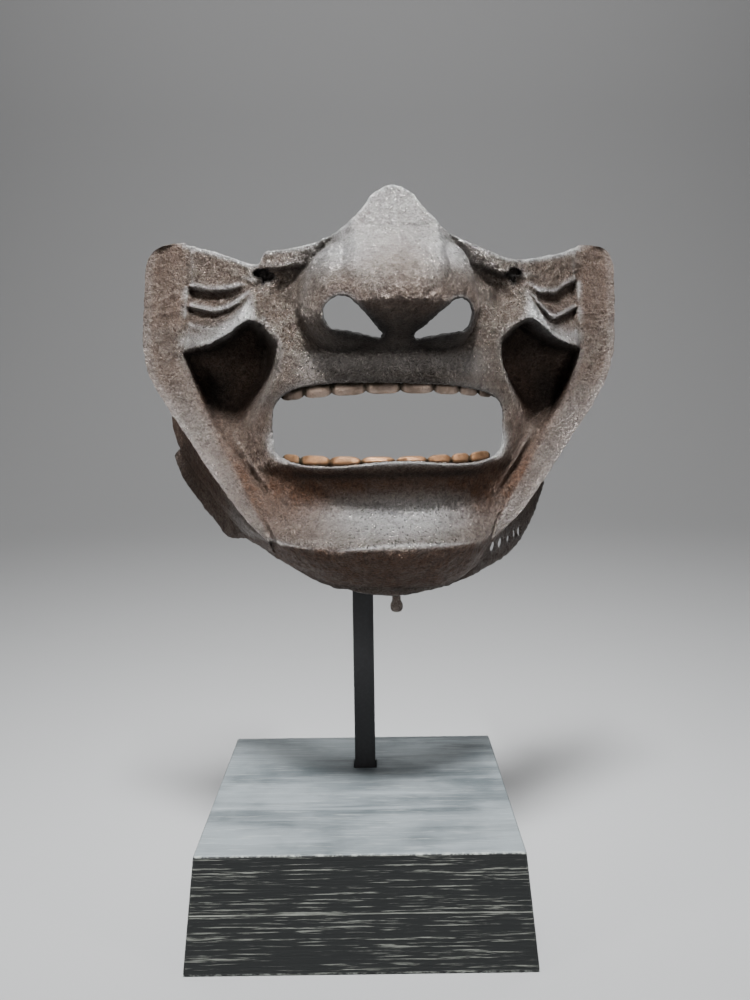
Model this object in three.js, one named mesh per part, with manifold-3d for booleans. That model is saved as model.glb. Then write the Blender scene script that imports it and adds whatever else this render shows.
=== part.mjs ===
// Iron half face guard (menpo) with a standing cheek flange, on its display stand.
// Millimetres, +Z up, the face looking along -Y; origin at the middle of the stand's underside.
import * as THREE from 'three';
import { mergeVertices } from 'three/addons/utils/BufferGeometryUtils.js';
import Module from 'manifold-3d';

const wasm = await Module();
wasm.setup();
const { Manifold, Mesh: Solid } = wasm;

// stand
const BASE_FOOT = 115.0;
const BASE_TOP = 107.2;
const BASE_HEIGHT = 38.8;
const SOCKET_DEPTH = 12.0;
const ROD_SIDE = 8.0;
const ROD_X = 1.2;
const ROD_Y = 24.0;
const ROD_TOP = 152.0;
const ARM_FRONT = -24.2;
// mask placing: its own frame is p (viewer's right), q (back), z (up)
const MASK_X = 7.8;
const MASK_Y = 24.0;
const MASK_TURN = 6.0 * Math.PI / 180;
// sheet
const SHEET = 1.8;
const EAR_Z = 236.0;
const CORNER_Z = 136.0;
const RIM_SHEET = 1.0;
const TEETH_SHEET = 1.1;
const FIT = 0.45;

// flange root half width by height: z, left, right
const ROOT = [
  [132.0, 39.5, 32.5], [136.5, 41.6, 34.8], [142.2, 44.5, 38.2], [152.1, 49.4, 45.0],
  [162.3, 54.4, 51.8], [172.7, 60.1, 59.0], [183.8, 65.2, 66.2], [192.6, 68.5, 70.0],
  [200.5, 71.2, 72.0], [211.7, 69.9, 71.5], [223.7, 68.8, 71.0], [240.0, 68.7, 70.8]];
// flange root depth by height: z, q
const ROOT_Q = [
  [130.0, -47.0], [136.0, -45.2], [142.0, -41.0], [152.0, -36.5], [162.0, -32.5],
  [172.0, -29.0], [184.0, -26.0], [194.0, -25.0], [203.0, -25.2], [245.0, -25.2]];
// top edge height: p, z
const TOP = [
  [-69.1, 236.4], [-63.2, 234.9], [-53.0, 231.2], [-43.8, 227.9], [-41.4, 231.9],
  [-36.2, 232.3], [-29.7, 233.1], [-21.6, 235.6], [-15.2, 239.2], [-10.3, 243.9],
  [-5.2, 250.0], [0.8, 252.4], [6.3, 250.2], [11.0, 243.9], [15.9, 239.2], [23.1, 235.6],
  [30.5, 233.0], [42.5, 229.5], [55.9, 231.5], [70.8, 235.6]];
// chin ridge height: p, z
const RIDGE = [
  [-41.6, 136.4], [-37.0, 135.3], [-32.0, 134.8], [-22.6, 134.2], [-13.2, 135.3],
  [-2.4, 136.3], [9.6, 136.1], [20.6, 135.1], [29.1, 134.3], [34.8, 134.8]];
// muzzle and chin: z, depth on the centre line, plan curvature
const MUZZLE = [
  [130.0, -63.0, 0.0117], [134.0, -66.0, 0.0115], [136.5, -66.3, 0.0113], [139.5, -62.0, 0.0098],
  [144.0, -56.0, 0.0084], [149.0, -53.8, 0.0080], [154.0, -54.5, 0.0088], [158.5, -57.0, 0.0104],
  [163.0, -61.0, 0.0118], [175.0, -60.5, 0.0120], [188.0, -60.5, 0.0118], [196.0, -58.6, 0.0106],
  [203.0, -56.0, 0.0092], [212.0, -54.0, 0.0080]];
// cheekbone lower edge: half width, z, stand-off
const SHELF = [
  [36.0, 207.0, 0.0], [41.5, 208.6, 2.5], [47.0, 209.6, 8.0], [49.5, 208.4, 8.6],
  [54.3, 205.2, 8.0], [61.5, 202.0, 6.2], [71.5, 200.4, 2.6]];
// inner edge of the cheek hollow: z, half width
const HOLLOW = [
  [168.0, 53.0], [175.0, 48.5], [181.6, 45.0], [188.5, 41.5], [195.0, 38.6],
  [201.3, 38.2], [206.4, 41.5], [210.0, 46.0]];
// jaw crease: z, half width
const JAW = [
  [146.0, 40.5], [150.0, 42.5], [155.6, 46.3], [162.8, 51.2], [171.4, 56.2], [179.3, 58.0],
  [188.7, 53.0]];
// crow's-foot grooves: half width, z of the first, z of the second
const FOOT_LEFT = [
  [46.0, 221.4, 220.0], [48.1, 221.6, 218.3], [53.2, 220.6, 214.8], [58.5, 220.4, 213.6],
  [63.8, 221.4, 214.6], [69.5, 223.2, 216.6]];
const FOOT_RIGHT = [
  [46.0, 222.0, 221.0], [48.0, 221.0, 218.5], [52.3, 219.3, 214.0], [57.5, 219.3, 210.6],
  [63.5, 222.6, 212.6], [71.5, 226.2, 217.0]];
// nose centre line: z, q
const NOSE = [
  [195.0, -52.0], [198.0, -55.5], [200.8, -59.0], [205.0, -64.8], [209.0, -70.6],
  [212.0, -74.7], [214.5, -77.4], [217.5, -79.0], [220.5, -78.6], [224.5, -75.6],
  [231.0, -67.8], [238.8, -57.8], [246.0, -52.8], [253.0, -48.2]];
// flange edge: share of the way down, left p, right p, q, z
const FIN = [
  [0.0, 75.6, 77.6, -26.6, 236.2], [0.012, 78.6, 80.2, -27.0, 234.6], [0.03, 80.9, 82.0, -27.0, 231.6],
  [0.06, 81.9, 82.8, -27.0, 227.6], [0.17, 82.7, 83.2, -27.0, 217.6], [0.33, 83.6, 83.4, -27.0, 202.6],
  [0.42, 82.4, 81.9, -27.5, 194.0], [0.52, 76.8, 76.6, -29.0, 183.0],
  [0.64, 69.2, 67.6, -32.0, 171.0], [0.74, 63.0, 60.2, -35.5, 161.4],
  [0.84, 56.2, 52.4, -39.5, 151.8], [0.93, 48.9, 43.6, -43.6, 142.4],
  [1.0, 42.6, 35.6, -46.2, 136.2]];
// rear edge of the jaw wall: share of the way down, left p, right p, q, z
const REAR = [
  [0.0, 73.0, 73.5, 15.0, 231.0], [0.1, 75.5, 75.0, 19.0, 224.5], [0.5, 79.0, 76.0, 20.0, 199.0],
  [0.85, 79.0, 72.5, 18.5, 176.0], [1.0, 77.4, 69.5, 16.5, 167.5]];
// lower edge of the chin band: share of the half width, p, q, z
const BAND = [
  [-1.0, -40.5, -36.0, 129.6], [-0.76, -31.9, -42.0, 125.4], [-0.42, -17.2, -50.0, 121.2],
  [0.0, -1.0, -54.0, 120.9], [0.4, 13.0, -51.5, 120.4], [0.72, 23.5, -45.0, 121.6],
  [0.88, 29.0, -41.0, 124.6], [1.0, 34.0, -39.5, 131.0]];
// lower edge of the throat rim: shell column, p, q, z
const RIM_EDGE = [
  [-4.0, -78.6, 17.0, 161.8], [-3.86, -75.0, 11.0, 153.6], [-3.7, -69.6, 4.0, 146.4],
  [-3.5, -62.4, -4.0, 138.4], [-3.38, -56.6, -11.0, 133.0], [-3.32, -53.0, -15.0, 133.4],
  [-3.0, -41.0, -27.0, 128.0], [-1.0, -38.0, -32.0, 127.0], [-0.5, -20.0, -45.0, 119.6],
  [0.0, 0.0, -50.5, 117.2], [0.5, 14.0, -46.5, 118.2], [1.0, 30.0, -35.0, 120.6],
  [3.0, 36.0, -28.0, 121.6], [3.25, 45.5, -17.0, 123.6], [3.5, 54.0, -6.0, 127.6],
  [3.75, 62.5, 6.0, 135.6], [4.0, 69.5, 15.0, 147.6]];
// tooth boundaries along each row: p
const UPPER_GAPS = [-37.0, -29.4, -20.6, -9.7, 1.5, 12.7, 21.9, 29.2, 35.2];
const LOWER_GAPS = [-37.0, -31.2, -21.6, -11.7, -0.5, 10.0, 18.6, 25.6, 34.4];
// lacing holes on the right of the throat rim: column, share of the drop
const LACES = [[3.165, 1.438], [3.25, 1.489], [3.36, 1.626], [3.455, 1.715], [3.532, 1.827]];
const LACE_RADIUS = 1.85;
// outlines of the two torn pits by the bridge: across, up
const TORN = [
  { middle: [-41.8, 224.7],
    corners: [[-3.6, 1.3], [-3.4, -0.2], [-1.9, -0.8], [-0.7, -0.9], [-0.5, -2.6], [0.2, -2.9], [0.5, -1.8],
      [2.3, -1.8], [3.6, -0.8], [3.3, 0.5], [1.7, 0.9], [1.2, 2.0], [-2.1, 2.1]] },
  { middle: [42.3, 224.5],
    corners: [[-3.1, 0.7], [-2.9, -0.7], [-1.6, -0.2], [-0.9, -1.3], [0.1, -2.5], [1.4, -2.7], [0.9, -0.4],
      [3.0, 0.1], [3.2, 1.6], [0.6, 2.6], [-1.5, 2.3], [-2.0, 1.0]] }];
const TORN_DEPTH = 1.25;

const MESH_COLUMNS = { front: 22, fin: 2, wall: 4 };
const MESH_ROWS = { face: 35, band: 3 };

const clamp = (x, lo, hi) => Math.min(Math.max(x, lo), hi);
const bell = (x, width) => Math.exp(-((x / width) ** 2));

function step(a, b, x) {
  const t = clamp((x - a) / (b - a), 0, 1);
  return t * t * (3 - 2 * t);
}

function softMin(a, b, k) {
  const h = clamp(0.5 + 0.5 * (b - a) / k, 0, 1);
  return b + (a - b) * h - k * h * (1 - h);
}

// Smooth monotone curve through the rows of a table.
function curve(table, x, column = 1) {
  const n = table.length;
  const at = clamp(x, table[0][0], table[n - 1][0]);
  let i = 0;
  while (i < n - 2 && at > table[i + 1][0]) i += 1;
  const chord = (k) => (table[k + 1][column] - table[k][column]) / (table[k + 1][0] - table[k][0]);
  const slope = (k) => {
    if (k === 0) return chord(0);
    if (k === n - 1) return chord(n - 2);
    const a = chord(k - 1);
    const b = chord(k);
    return a * b > 0 ? 2 * a * b / (a + b) : 0;
  };
  const h = table[i + 1][0] - table[i][0];
  const t = (at - table[i][0]) / h;
  return table[i][column] * (1 + 2 * t) * (1 - t) ** 2 + h * slope(i) * t * (1 - t) ** 2
    + table[i + 1][column] * t * t * (3 - 2 * t) + h * slope(i + 1) * t * t * (t - 1);
}

const rootWidth = (side, z) => curve(ROOT, z, side < 0 ? 1 : 2);

// Half width brought to the left side's proportions.
function evened(p, z) {
  return p > 0 ? p * rootWidth(-1, z) / rootWidth(1, z) : -p;
}

function lowerFace(e, z) {
  const muzzle = curve(MUZZLE, z, 1) + curve(MUZZLE, z, 2) * e * e;
  const root = curve(ROOT_Q, z);
  let q = softMin(muzzle, root, 4.0);
  const floor = root + 2.5 + 3.0 * bell(z - 190, 9) - 3.0 * step(198, 210, z);
  const soft = 4.5 + 4.0 * (1 - step(178, 192, z));
  const depth = step(-1.2, soft, e - curve(HOLLOW, z)) * step(164, 182, z);
  if (floor > q) q += (floor - q) * depth;
  const crease = e - curve(JAW, z);
  q += 1.1 * bell(crease, 1.3) * step(148, 154, z) * (1 - step(166, 178, z));
  return q - 0.9 * bell(crease + 3.0, 0.9) * step(150, 156, z) * (1 - step(168, 176, z));
}

function crowsFeet(p, e, z) {
  const table = p < 0 ? FOOT_LEFT : FOOT_RIGHT;
  const first = curve(table, e, 1);
  const second = curve(table, e, 2);
  const gap = Math.max(first - second, 1.0);
  const depth = 3.6 * step(45, 53, e);
  const tooth = (line, run) => step(-0.9, 1.7, line - z)
    * clamp(1 - (line - z - 1) / Math.max(run - 1, 0.5), 0, 1);
  return depth * (tooth(first, gap) + tooth(second, gap * 0.9));
}

function upperFace(p, e, z) {
  let q = -50.0 + 0.0053 * e * e;
  const rise = Math.max(z - curve(SHELF, e, 1), 0);
  q -= curve(SHELF, e, 2) * Math.exp(-((rise / 8) ** 1.6));
  q += crowsFeet(p, e, z);
  const below = curve(TOP, p) - z;
  q -= 1.3 * (1 - step(4.5, 7.5, below)) * step(13, 17, e) * (1 - step(40, 52, e));
  const run = step(14, 17, e) * (1 - step(34, 46, e));
  const valley = 237.0 - 0.62 * (e - 15) - 0.006 * (e - 15) ** 2;
  return q + 3.4 * run * bell(z - valley + 1.0, 3.0 + 0.12 * (e - 15));
}

function nose(p, z) {
  const c = p + 1.0 - 1.6 * step(222, 238, z);
  const a = Math.abs(c);
  const half = 13.6 + 2.0 * (1 - step(212, 230, z));
  const round = 0.8 + 6.0 * (1 - step(219, 233, z));
  const flank = 0.5 * (a - half + Math.hypot(a - half, round));
  const wedge = curve(NOSE, z) + 0.009 * c * c + 1.6 * flank - 0.4 * round
    - 0.35 * bell(c, 0.9) * step(224, 236, z);
  const up = z > 213.5 ? 21.5 : 15.0;
  const r = 1 - ((a - 16) / 13.6) ** 2 - ((z - 213.5) / up) ** 2;
  const wing = r > 0 ? -46.5 - 24.5 * Math.sqrt(r) : -46.5 - 60 * r;
  return softMin(wedge, wing, 3.0 + 7.0 * (1 - step(220, 232, z)));
}

// Negative inside the mouth opening.
function mouth(p, z) {
  const c = Math.abs(p + 0.5) / 39.9;
  if (z > 174.2) {
    return 14 * ((c ** 3.4 + ((z - 174.2) / (14.8 - 0.035 * p)) ** 3.4) ** (1 / 3.4) - 1);
  }
  return 14 * ((c ** 4.5 + ((174.2 - z) / (13.4 - 2.5 * bell(p, 18))) ** 4.5) ** (1 / 4.5) - 1);
}

function teardrop(p, z, wide, narrow) {
  const dp = narrow[0] - wide[0];
  const dz = narrow[1] - wide[1];
  const t = clamp(((p - wide[0]) * dp + (z - wide[1]) * dz) / (dp * dp + dz * dz), 0, 1);
  return Math.hypot(p - wide[0] - t * dp, z - wide[1] - t * dz) - wide[2] - t * (narrow[2] - wide[2]);
}

function nostrils(p, z) {
  return Math.min(teardrop(p, z, [-18.6, 210.4, 5.4], [-6.0, 204.0, 1.3]),
    teardrop(p, z, [18.9, 209.6, 5.5], [6.2, 203.8, 1.5]));
}

const openings = (p, z) => Math.min(mouth(p, z), nostrils(p, z));

// Depth of the front of the face at (p, z).
function faceDepth(p, z) {
  const e = evened(p, z);
  const width = 1.3 + 8.0 * (1 - step(38, 48, e));
  const share = step(-width, width * 0.25, z - curve(SHELF, e, 1));
  let q = lowerFace(e, z) * (1 - share) + upperFace(p, e, z) * share;
  q = softMin(q, nose(p, z), 1.0);
  q += (curve(ROOT_Q, z) - q) * (1 - step(0.5, 2.3, curve(ROOT, z, 1) - e));
  const lip = bell(Math.max(mouth(p, z), 0), 2.2);
  const curl = (z < 172 ? 2.2 : 0.9) * (1 - 0.5 * step(30, 40, e));
  return q - curl * lip * step(150, 158, z);
}

// Depth of the back of the sheet: the front moved in by the sheet thickness.
function backDepth(p, z, sheet = SHEET) {
  let best = faceDepth(p, z) + sheet;
  for (let k = 0; k < 16; k += 1) {
    const r = k < 8 ? 0.6 : 0.95;
    const a = k * Math.PI / 4;
    const q = faceDepth(p + sheet * r * Math.cos(a), z + sheet * r * Math.sin(a));
    best = Math.max(best, q + sheet * Math.sqrt(1 - r * r));
  }
  return best;
}

const add = (a, b, t = 1) => [a[0] + b[0] * t, a[1] + b[1] * t, a[2] + b[2] * t];
const mix = (a, b, t) => [a[0] + (b[0] - a[0]) * t, a[1] + (b[1] - a[1]) * t, a[2] + (b[2] - a[2]) * t];

// (p, z) of the front of the face at column c (-1..1), row v (0..1).
function facePlace(c, v) {
  const side = c < 0 ? -1 : 1;
  const u = Math.min(Math.abs(c), 1);
  const p = side * u * rootWidth(side, EAR_Z + (CORNER_Z - EAR_Z) * v);
  const high = curve(TOP, side * u * (side < 0 ? 69.0 : 70.8));
  const low = curve(RIDGE, side * u * (side < 0 ? 41.6 : 34.8));
  return [p, low + (high - low) * (1 - v)];
}

// The corner where the flange leaves the face and where the jaw wall starts behind it.
function flangeFrame(side, v) {
  const [p, z] = facePlace(side, v);
  const root = [p, faceDepth(p, z), z];
  const edge = [side * curve(FIN, v, side < 0 ? 1 : 2), curve(FIN, v, 3), curve(FIN, v, 4)];
  const thick = 2.0 - 1.2 * step(0.9, 1.0, v);
  const behind = [p + side * 0.8, root[1] + thick + 0.6, z];
  const rear = [side * curve(REAR, v, side < 0 ? 1 : 2), curve(REAR, v, 3), curve(REAR, v, 4)];
  return { root, edge, behind, rear, thick };
}

// Outer point of the shell: |c| 0..1 face, 1..2 flange front, 2..3 flange back, 3..4 jaw wall.
function outerFace(c, v) {
  const side = c < 0 ? -1 : 1;
  const k = Math.abs(c);
  if (k <= 1) {
    const [p, z] = facePlace(c, v);
    return [p, faceDepth(p, z), z];
  }
  const f = flangeFrame(side, v);
  if (k <= 2) {
    const bow = Math.sin(Math.PI * (k - 1));
    return add(mix(f.root, f.edge, k - 1), [0, 0.8 * bow, 0.9 * bow * (1 - step(0, 0.06, v))]);
  }
  if (k <= 3) {
    const start = add(f.edge, [0, f.thick * 0.8, 0]);
    return add(mix(start, f.behind, k - 2), [0, 0.8 * Math.sin(Math.PI * (k - 2)), 0]);
  }
  const s = k - 3;
  const d = add(f.rear, f.behind, -1);
  return add(f.behind, [d[0] * s ** 1.05, d[1] * s, d[2] * s ** (1 + 0.7 * v)]);
}

function innerFace(c, v) {
  const side = c < 0 ? -1 : 1;
  const k = Math.abs(c);
  if (k <= 1) {
    const [p, z] = facePlace(c, v);
    return [p - side * SHEET * step(0.9, 1.0, k), backDepth(p, z), z];
  }
  const f = flangeFrame(side, v);
  const root = [f.root[0] - side * SHEET, Math.max(backDepth(f.root[0], f.root[2]), f.root[1] + 1.2), f.root[2]];
  const shift = [-side * (SHEET + 0.3), 0.9, 0];
  if (k <= 3) return mix(root, add(f.behind, shift), (k - 1) / 2);
  return add(add(outerFace(c, v), shift), [0, -0.9 * (k - 3), 0]);
}

// Lower edge of the band that turns under the chin ridge.
function bandEdge(c) {
  const side = c < 0 ? -1 : 1;
  const k = Math.abs(c);
  const low = [1, 2, 3].map((n) => curve(BAND, clamp(c, -1, 1), n));
  if (k <= 1) return low;
  const fall = side < 0 ? 6.4 - 4.6 * Math.max(k - 3, 0) : 3.0 - 1.6 * Math.max(k - 3, 0);
  const down = side < 0 ? [0.25, 0.35, -0.9] : [-0.2, 0.35, -0.9];
  if (k > 3) return add(outerFace(c, 1), down, fall);
  return mix(low, add(flangeFrame(side, 1).behind, down, fall), (k - 1) / 2);
}

function shellPoint(c, v, back) {
  const face = back ? innerFace : outerFace;
  if (v <= 1) return face(c, v);
  const b = v - 1;
  const su = clamp(c, -1, 1) * 0.55;
  const inward = Math.abs(c) > 1 ? [-0.92 * Math.sign(c), 0.38, 0] : [-su, Math.sqrt(1 - su * su), 0];
  const low = back ? add(bandEdge(c), inward, SHEET) : bandEdge(c);
  const bow = -1.6 * Math.sin(Math.PI * b) * (1 - step(0.72, 1.0, Math.abs(c)));
  return add(mix(face(c, 1), low, b), [0, bow, 0]);
}

// Triangulated field over two lists of stations.
function field(us, vs) {
  const points = us.flatMap((u) => vs.map((v) => [u, v]));
  const triangles = [];
  const at = (i, j) => i * vs.length + j;
  for (let i = 0; i + 1 < us.length; i += 1) {
    for (let j = 0; j + 1 < vs.length; j += 1) {
      const [a, b, c, d] = [at(i, j), at(i + 1, j), at(i + 1, j + 1), at(i, j + 1)];
      if ((i + j) % 2) triangles.push([a, b, c], [a, c, d]);
      else triangles.push([a, b, d], [b, c, d]);
    }
  }
  return { points, triangles };
}

// Where the gap function changes sign between two field points.
function crossing(a, b, gap) {
  let lo = 0;
  let hi = 1;
  const start = gap(a) > 0;
  for (let n = 0; n < 18; n += 1) {
    const t = 0.5 * (lo + hi);
    if ((gap([a[0] + (b[0] - a[0]) * t, a[1] + (b[1] - a[1]) * t]) > 0) === start) lo = t;
    else hi = t;
  }
  return 0.5 * (lo + hi);
}

// Take away the part of a field where the gap function is negative, leaving a clean edge.
function pierced({ points, triangles }, gap, snap = 0.25) {
  const pts = points.map((p) => [...p]);
  const state = pts.map((p) => (gap(p) > 0 ? 1 : -1));
  const nearest = new Map();
  const edges = new Map();
  for (const t of triangles) {
    for (let n = 0; n < 3; n += 1) {
      const [a, b] = [t[n], t[(n + 1) % 3]].sort((x, y) => x - y);
      if (state[a] !== state[b]) edges.set(`${a},${b}`, [a, b]);
    }
  }
  for (const [a, b] of edges.values()) {
    const t = crossing(points[a], points[b], gap);
    for (const [v, other, d] of [[a, b, t], [b, a, 1 - t]]) {
      if (d < snap && !(nearest.has(v) && nearest.get(v).d < d)) nearest.set(v, { d, other });
    }
  }
  for (const [v, { d, other }] of nearest) {
    pts[v] = points[v].map((x, n) => x + (points[other][n] - x) * d);
    state[v] = 0;
  }
  const made = new Map();
  const between = (a, b) => {
    const [i, j] = a < b ? [a, b] : [b, a];
    const key = `${i},${j}`;
    if (!made.has(key)) {
      const t = crossing(pts[i], pts[j], gap);
      made.set(key, pts.length);
      pts.push(pts[i].map((x, n) => x + (pts[j][n] - x) * t));
    }
    return made.get(key);
  };
  const kept = [];
  for (const t of triangles) {
    const s = t.map((v) => state[v]);
    if (Math.max(...s) <= 0) continue;
    if (Math.min(...s) >= 0) {
      kept.push(t);
      continue;
    }
    const ring = [];
    for (let n = 0; n < 3; n += 1) {
      const [a, b] = [t[n], t[(n + 1) % 3]];
      if (state[a] >= 0) ring.push(a);
      if (state[a] * state[b] < 0) ring.push(between(a, b));
    }
    for (let n = 1; n + 1 < ring.length; n += 1) kept.push([ring[0], ring[n], ring[n + 1]]);
  }
  return { points: pts, triangles: unpinched(kept) };
}

// Triangles round one vertex, gathered into fans that share edges.
function fans(vertex, triangles) {
  const groups = [];
  for (const t of triangles.filter((x) => x.includes(vertex))) {
    const touching = groups.filter((g) => g.some((x) => x.filter((v) => t.includes(v)).length === 2));
    const rest = groups.filter((g) => !touching.includes(g));
    groups.length = 0;
    groups.push(...rest, [t, ...touching.flat()]);
  }
  return groups;
}

// Drop the smaller fan wherever two meet at a single vertex.
function unpinched(triangles) {
  let kept = triangles;
  for (;;) {
    const edges = new Map();
    for (const [a, b, c] of kept) {
      for (const [i, j] of [[a, b], [b, c], [c, a]]) {
        if (!edges.delete(`${j},${i}`)) edges.set(`${i},${j}`, i);
      }
    }
    const starts = [...edges.values()];
    const twice = starts.filter((v, n) => starts.indexOf(v) !== n);
    if (!twice.length) return kept;
    const groups = fans(twice[0], kept).sort((x, y) => x.length - y.length);
    kept = kept.filter((t) => !groups[0].includes(t));
  }
}

// Closed sheet from a field and its two faces.
function sheet({ points, triangles }, front, back) {
  const used = [...new Set(triangles.flat())];
  const index = new Map(used.map((v, n) => [v, n]));
  const n = used.length;
  const positions = [...used.map((v) => front(points[v])), ...used.map((v) => back(points[v]))];
  const faces = triangles.map((t) => t.map((v) => index.get(v)).reverse());
  const edges = new Set(faces.flatMap(([a, b, c]) => [`${a},${b}`, `${b},${c}`, `${c},${a}`]));
  const closed = [...faces, ...faces.map(([a, b, c]) => [c + n, b + n, a + n])];
  for (const [a, b, c] of faces) {
    for (const [i, j] of [[a, b], [b, c], [c, a]]) {
      if (!edges.has(`${j},${i}`)) closed.push([j, i, i + n], [j, i + n, j + n]);
    }
  }
  const geometry = new THREE.BufferGeometry();
  geometry.setAttribute('position', new THREE.Float32BufferAttribute(positions.flat(), 3));
  geometry.setIndex(closed.flat());
  geometry.computeVertexNormals();
  return geometry;
}

function material(color, roughness, metalness) {
  return new THREE.MeshStandardMaterial({ color, roughness, metalness });
}

const russetIron = () => material(0x5b4a40, 0.62, 0.75);
const rustedIron = () => material(0x5a3a26, 0.75, 0.6);
const copper = () => material(0xb9825e, 0.4, 0.9);
const blackSteel = () => material(0x111113, 0.55, 0.3);
const ebonisedOak = () => material(0x1d2326, 0.6, 0.0);

function named(name, geometry, surface) {
  const mesh = new THREE.Mesh(geometry, surface);
  mesh.name = name;
  return mesh;
}

const spread = (a, b, n) => Array.from({ length: n + 1 }, (_, i) => a + (b - a) * i / n);

function shellColumns({ front, fin, wall }) {
  const half = [...spread(0, 1, front).slice(1), ...spread(1, 2, fin).slice(1),
    ...spread(2, 3, fin).slice(1), ...spread(3, 4, wall).slice(1)];
  return [...half.map((c) => -c).reverse(), 0, ...half];
}

function box(lo, hi) {
  const geometry = new THREE.BoxGeometry(hi[0] - lo[0], hi[1] - lo[1], hi[2] - lo[2]);
  return geometry.translate((lo[0] + hi[0]) / 2, (lo[1] + hi[1]) / 2, (lo[2] + hi[2]) / 2);
}

function toSolid(geometry) {
  const bare = geometry.clone();
  bare.deleteAttribute('normal');
  bare.deleteAttribute('uv');
  const merged = mergeVertices(bare, 1e-4);
  return new Manifold(new Solid({
    numProp: 3,
    vertProperties: merged.attributes.position.array,
    triVerts: new Uint32Array(merged.index.array),
  }));
}

function toGeometry(solid) {
  const mesh = solid.getMesh();
  const geometry = new THREE.BufferGeometry();
  geometry.setAttribute('position', new THREE.BufferAttribute(mesh.vertProperties, 3));
  geometry.setIndex(new THREE.BufferAttribute(mesh.triVerts, 1));
  geometry.computeVertexNormals();
  return geometry;
}

// Prism of an outline (across, up) along a direction, from ahead of a place to beyond it.
function prism(corners, place, direction, ahead, beyond) {
  const along = new THREE.Vector3(...direction).normalize();
  const across = new THREE.Vector3(-along.y, along.x, 0).normalize().negate();
  const up = new THREE.Vector3().crossVectors(along, across);
  const shape = new THREE.Shape(corners.map(([x, y]) => new THREE.Vector2(x, y)));
  const geometry = new THREE.ExtrudeGeometry(shape, { depth: ahead + beyond, bevelEnabled: false });
  geometry.translate(0, 0, -ahead);
  geometry.applyMatrix4(new THREE.Matrix4().makeBasis(across, up, along).setPosition(...place));
  return toSolid(geometry);
}

// Shallow torn pit, sunk square to the face.
function pitCutter({ middle: [p, z], corners }) {
  const slopeP = (faceDepth(p + 3, z) - faceDepth(p - 3, z)) / 6;
  const slopeZ = (faceDepth(p, z + 2) - faceDepth(p, z - 2)) / 4;
  return prism(corners, [p, faceDepth(p, z), z], [-slopeP, 1, -slopeZ], 3, TORN_DEPTH);
}

function facePlate() {
  const rows = [...spread(0, 1, MESH_ROWS.face), ...spread(1, 2, MESH_ROWS.band).slice(1)];
  const gap = ([c, v]) => (Math.abs(c) < 1 && v < 1 ? openings(...facePlace(c, v)) : 50);
  const shape = pierced(field(shellColumns(MESH_COLUMNS), rows), gap);
  const plate = toSolid(sheet(shape, ([c, v]) => shellPoint(c, v, false), ([c, v]) => shellPoint(c, v, true)));
  return named('face_plate', toGeometry(TORN.reduce((solid, pit) => solid.subtract(pitCutter(pit)), plate)),
    russetIron());
}

// Throat rim: tucked inside the band, then hanging below it.
function rimPoint(c, t, back) {
  const k = Math.abs(c);
  const clear = 2.7 * step(0.5, 1.0, k) * (1 - step(3.0, 3.3, k));
  const depth = FIT + clear + (back ? RIM_SHEET : 0);
  const hug = (v) => {
    const outer = shellPoint(c, v, false);
    const inner = shellPoint(c, v, true);
    const d = add(inner, outer, -1);
    const plan = Math.hypot(d[0], d[1]) || 1;
    return add(inner, [d[0] / plan, d[1] / plan, 0], depth);
  };
  if (t <= 1) return hug(1.45 + 0.55 * t);
  const knee = hug(2);
  const low = [1, 2, 3].map((n) => curve(RIM_EDGE, c, n));
  const outer = shellPoint(c, 2, false);
  const d = add(shellPoint(c, 2, true), outer, -1);
  const plan = Math.hypot(d[0], d[1]) || 1;
  const edge = back ? add(low, [d[0] / plan, d[1] / plan, 0], RIM_SHEET) : low;
  return mix(knee, edge, t - 1);
}

// Round rod square through the rim at one lacing hole.
function laceCutter([c, t]) {
  const place = rimPoint(c, t, false);
  const along = add(rimPoint(c + 0.02, t, false), rimPoint(c - 0.02, t, false), -1);
  const ring = Array.from({ length: 12 }, (_, n) => [LACE_RADIUS * Math.cos(n * Math.PI / 6),
    LACE_RADIUS * Math.sin(n * Math.PI / 6)]);
  return prism(ring, place, [-along[1], along[0], 0], 3, 3);
}

function throatRim() {
  const half = [...spread(0, 1, 7).slice(1), 2.0, ...spread(3, 4, 12)];
  const columns = [...half.map((c) => -c).reverse(), 0, ...half];
  const rows = [0, 1, 1.25, 1.5, 1.75, 2];
  const whole = toSolid(sheet(field(columns, rows), ([c, t]) => rimPoint(c, t, false), ([c, t]) => rimPoint(c, t, true)));
  return named('throat_rim', toGeometry(LACES.reduce((rim, lace) => rim.subtract(laceCutter(lace)), whole)),
    rustedIron());
}

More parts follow.
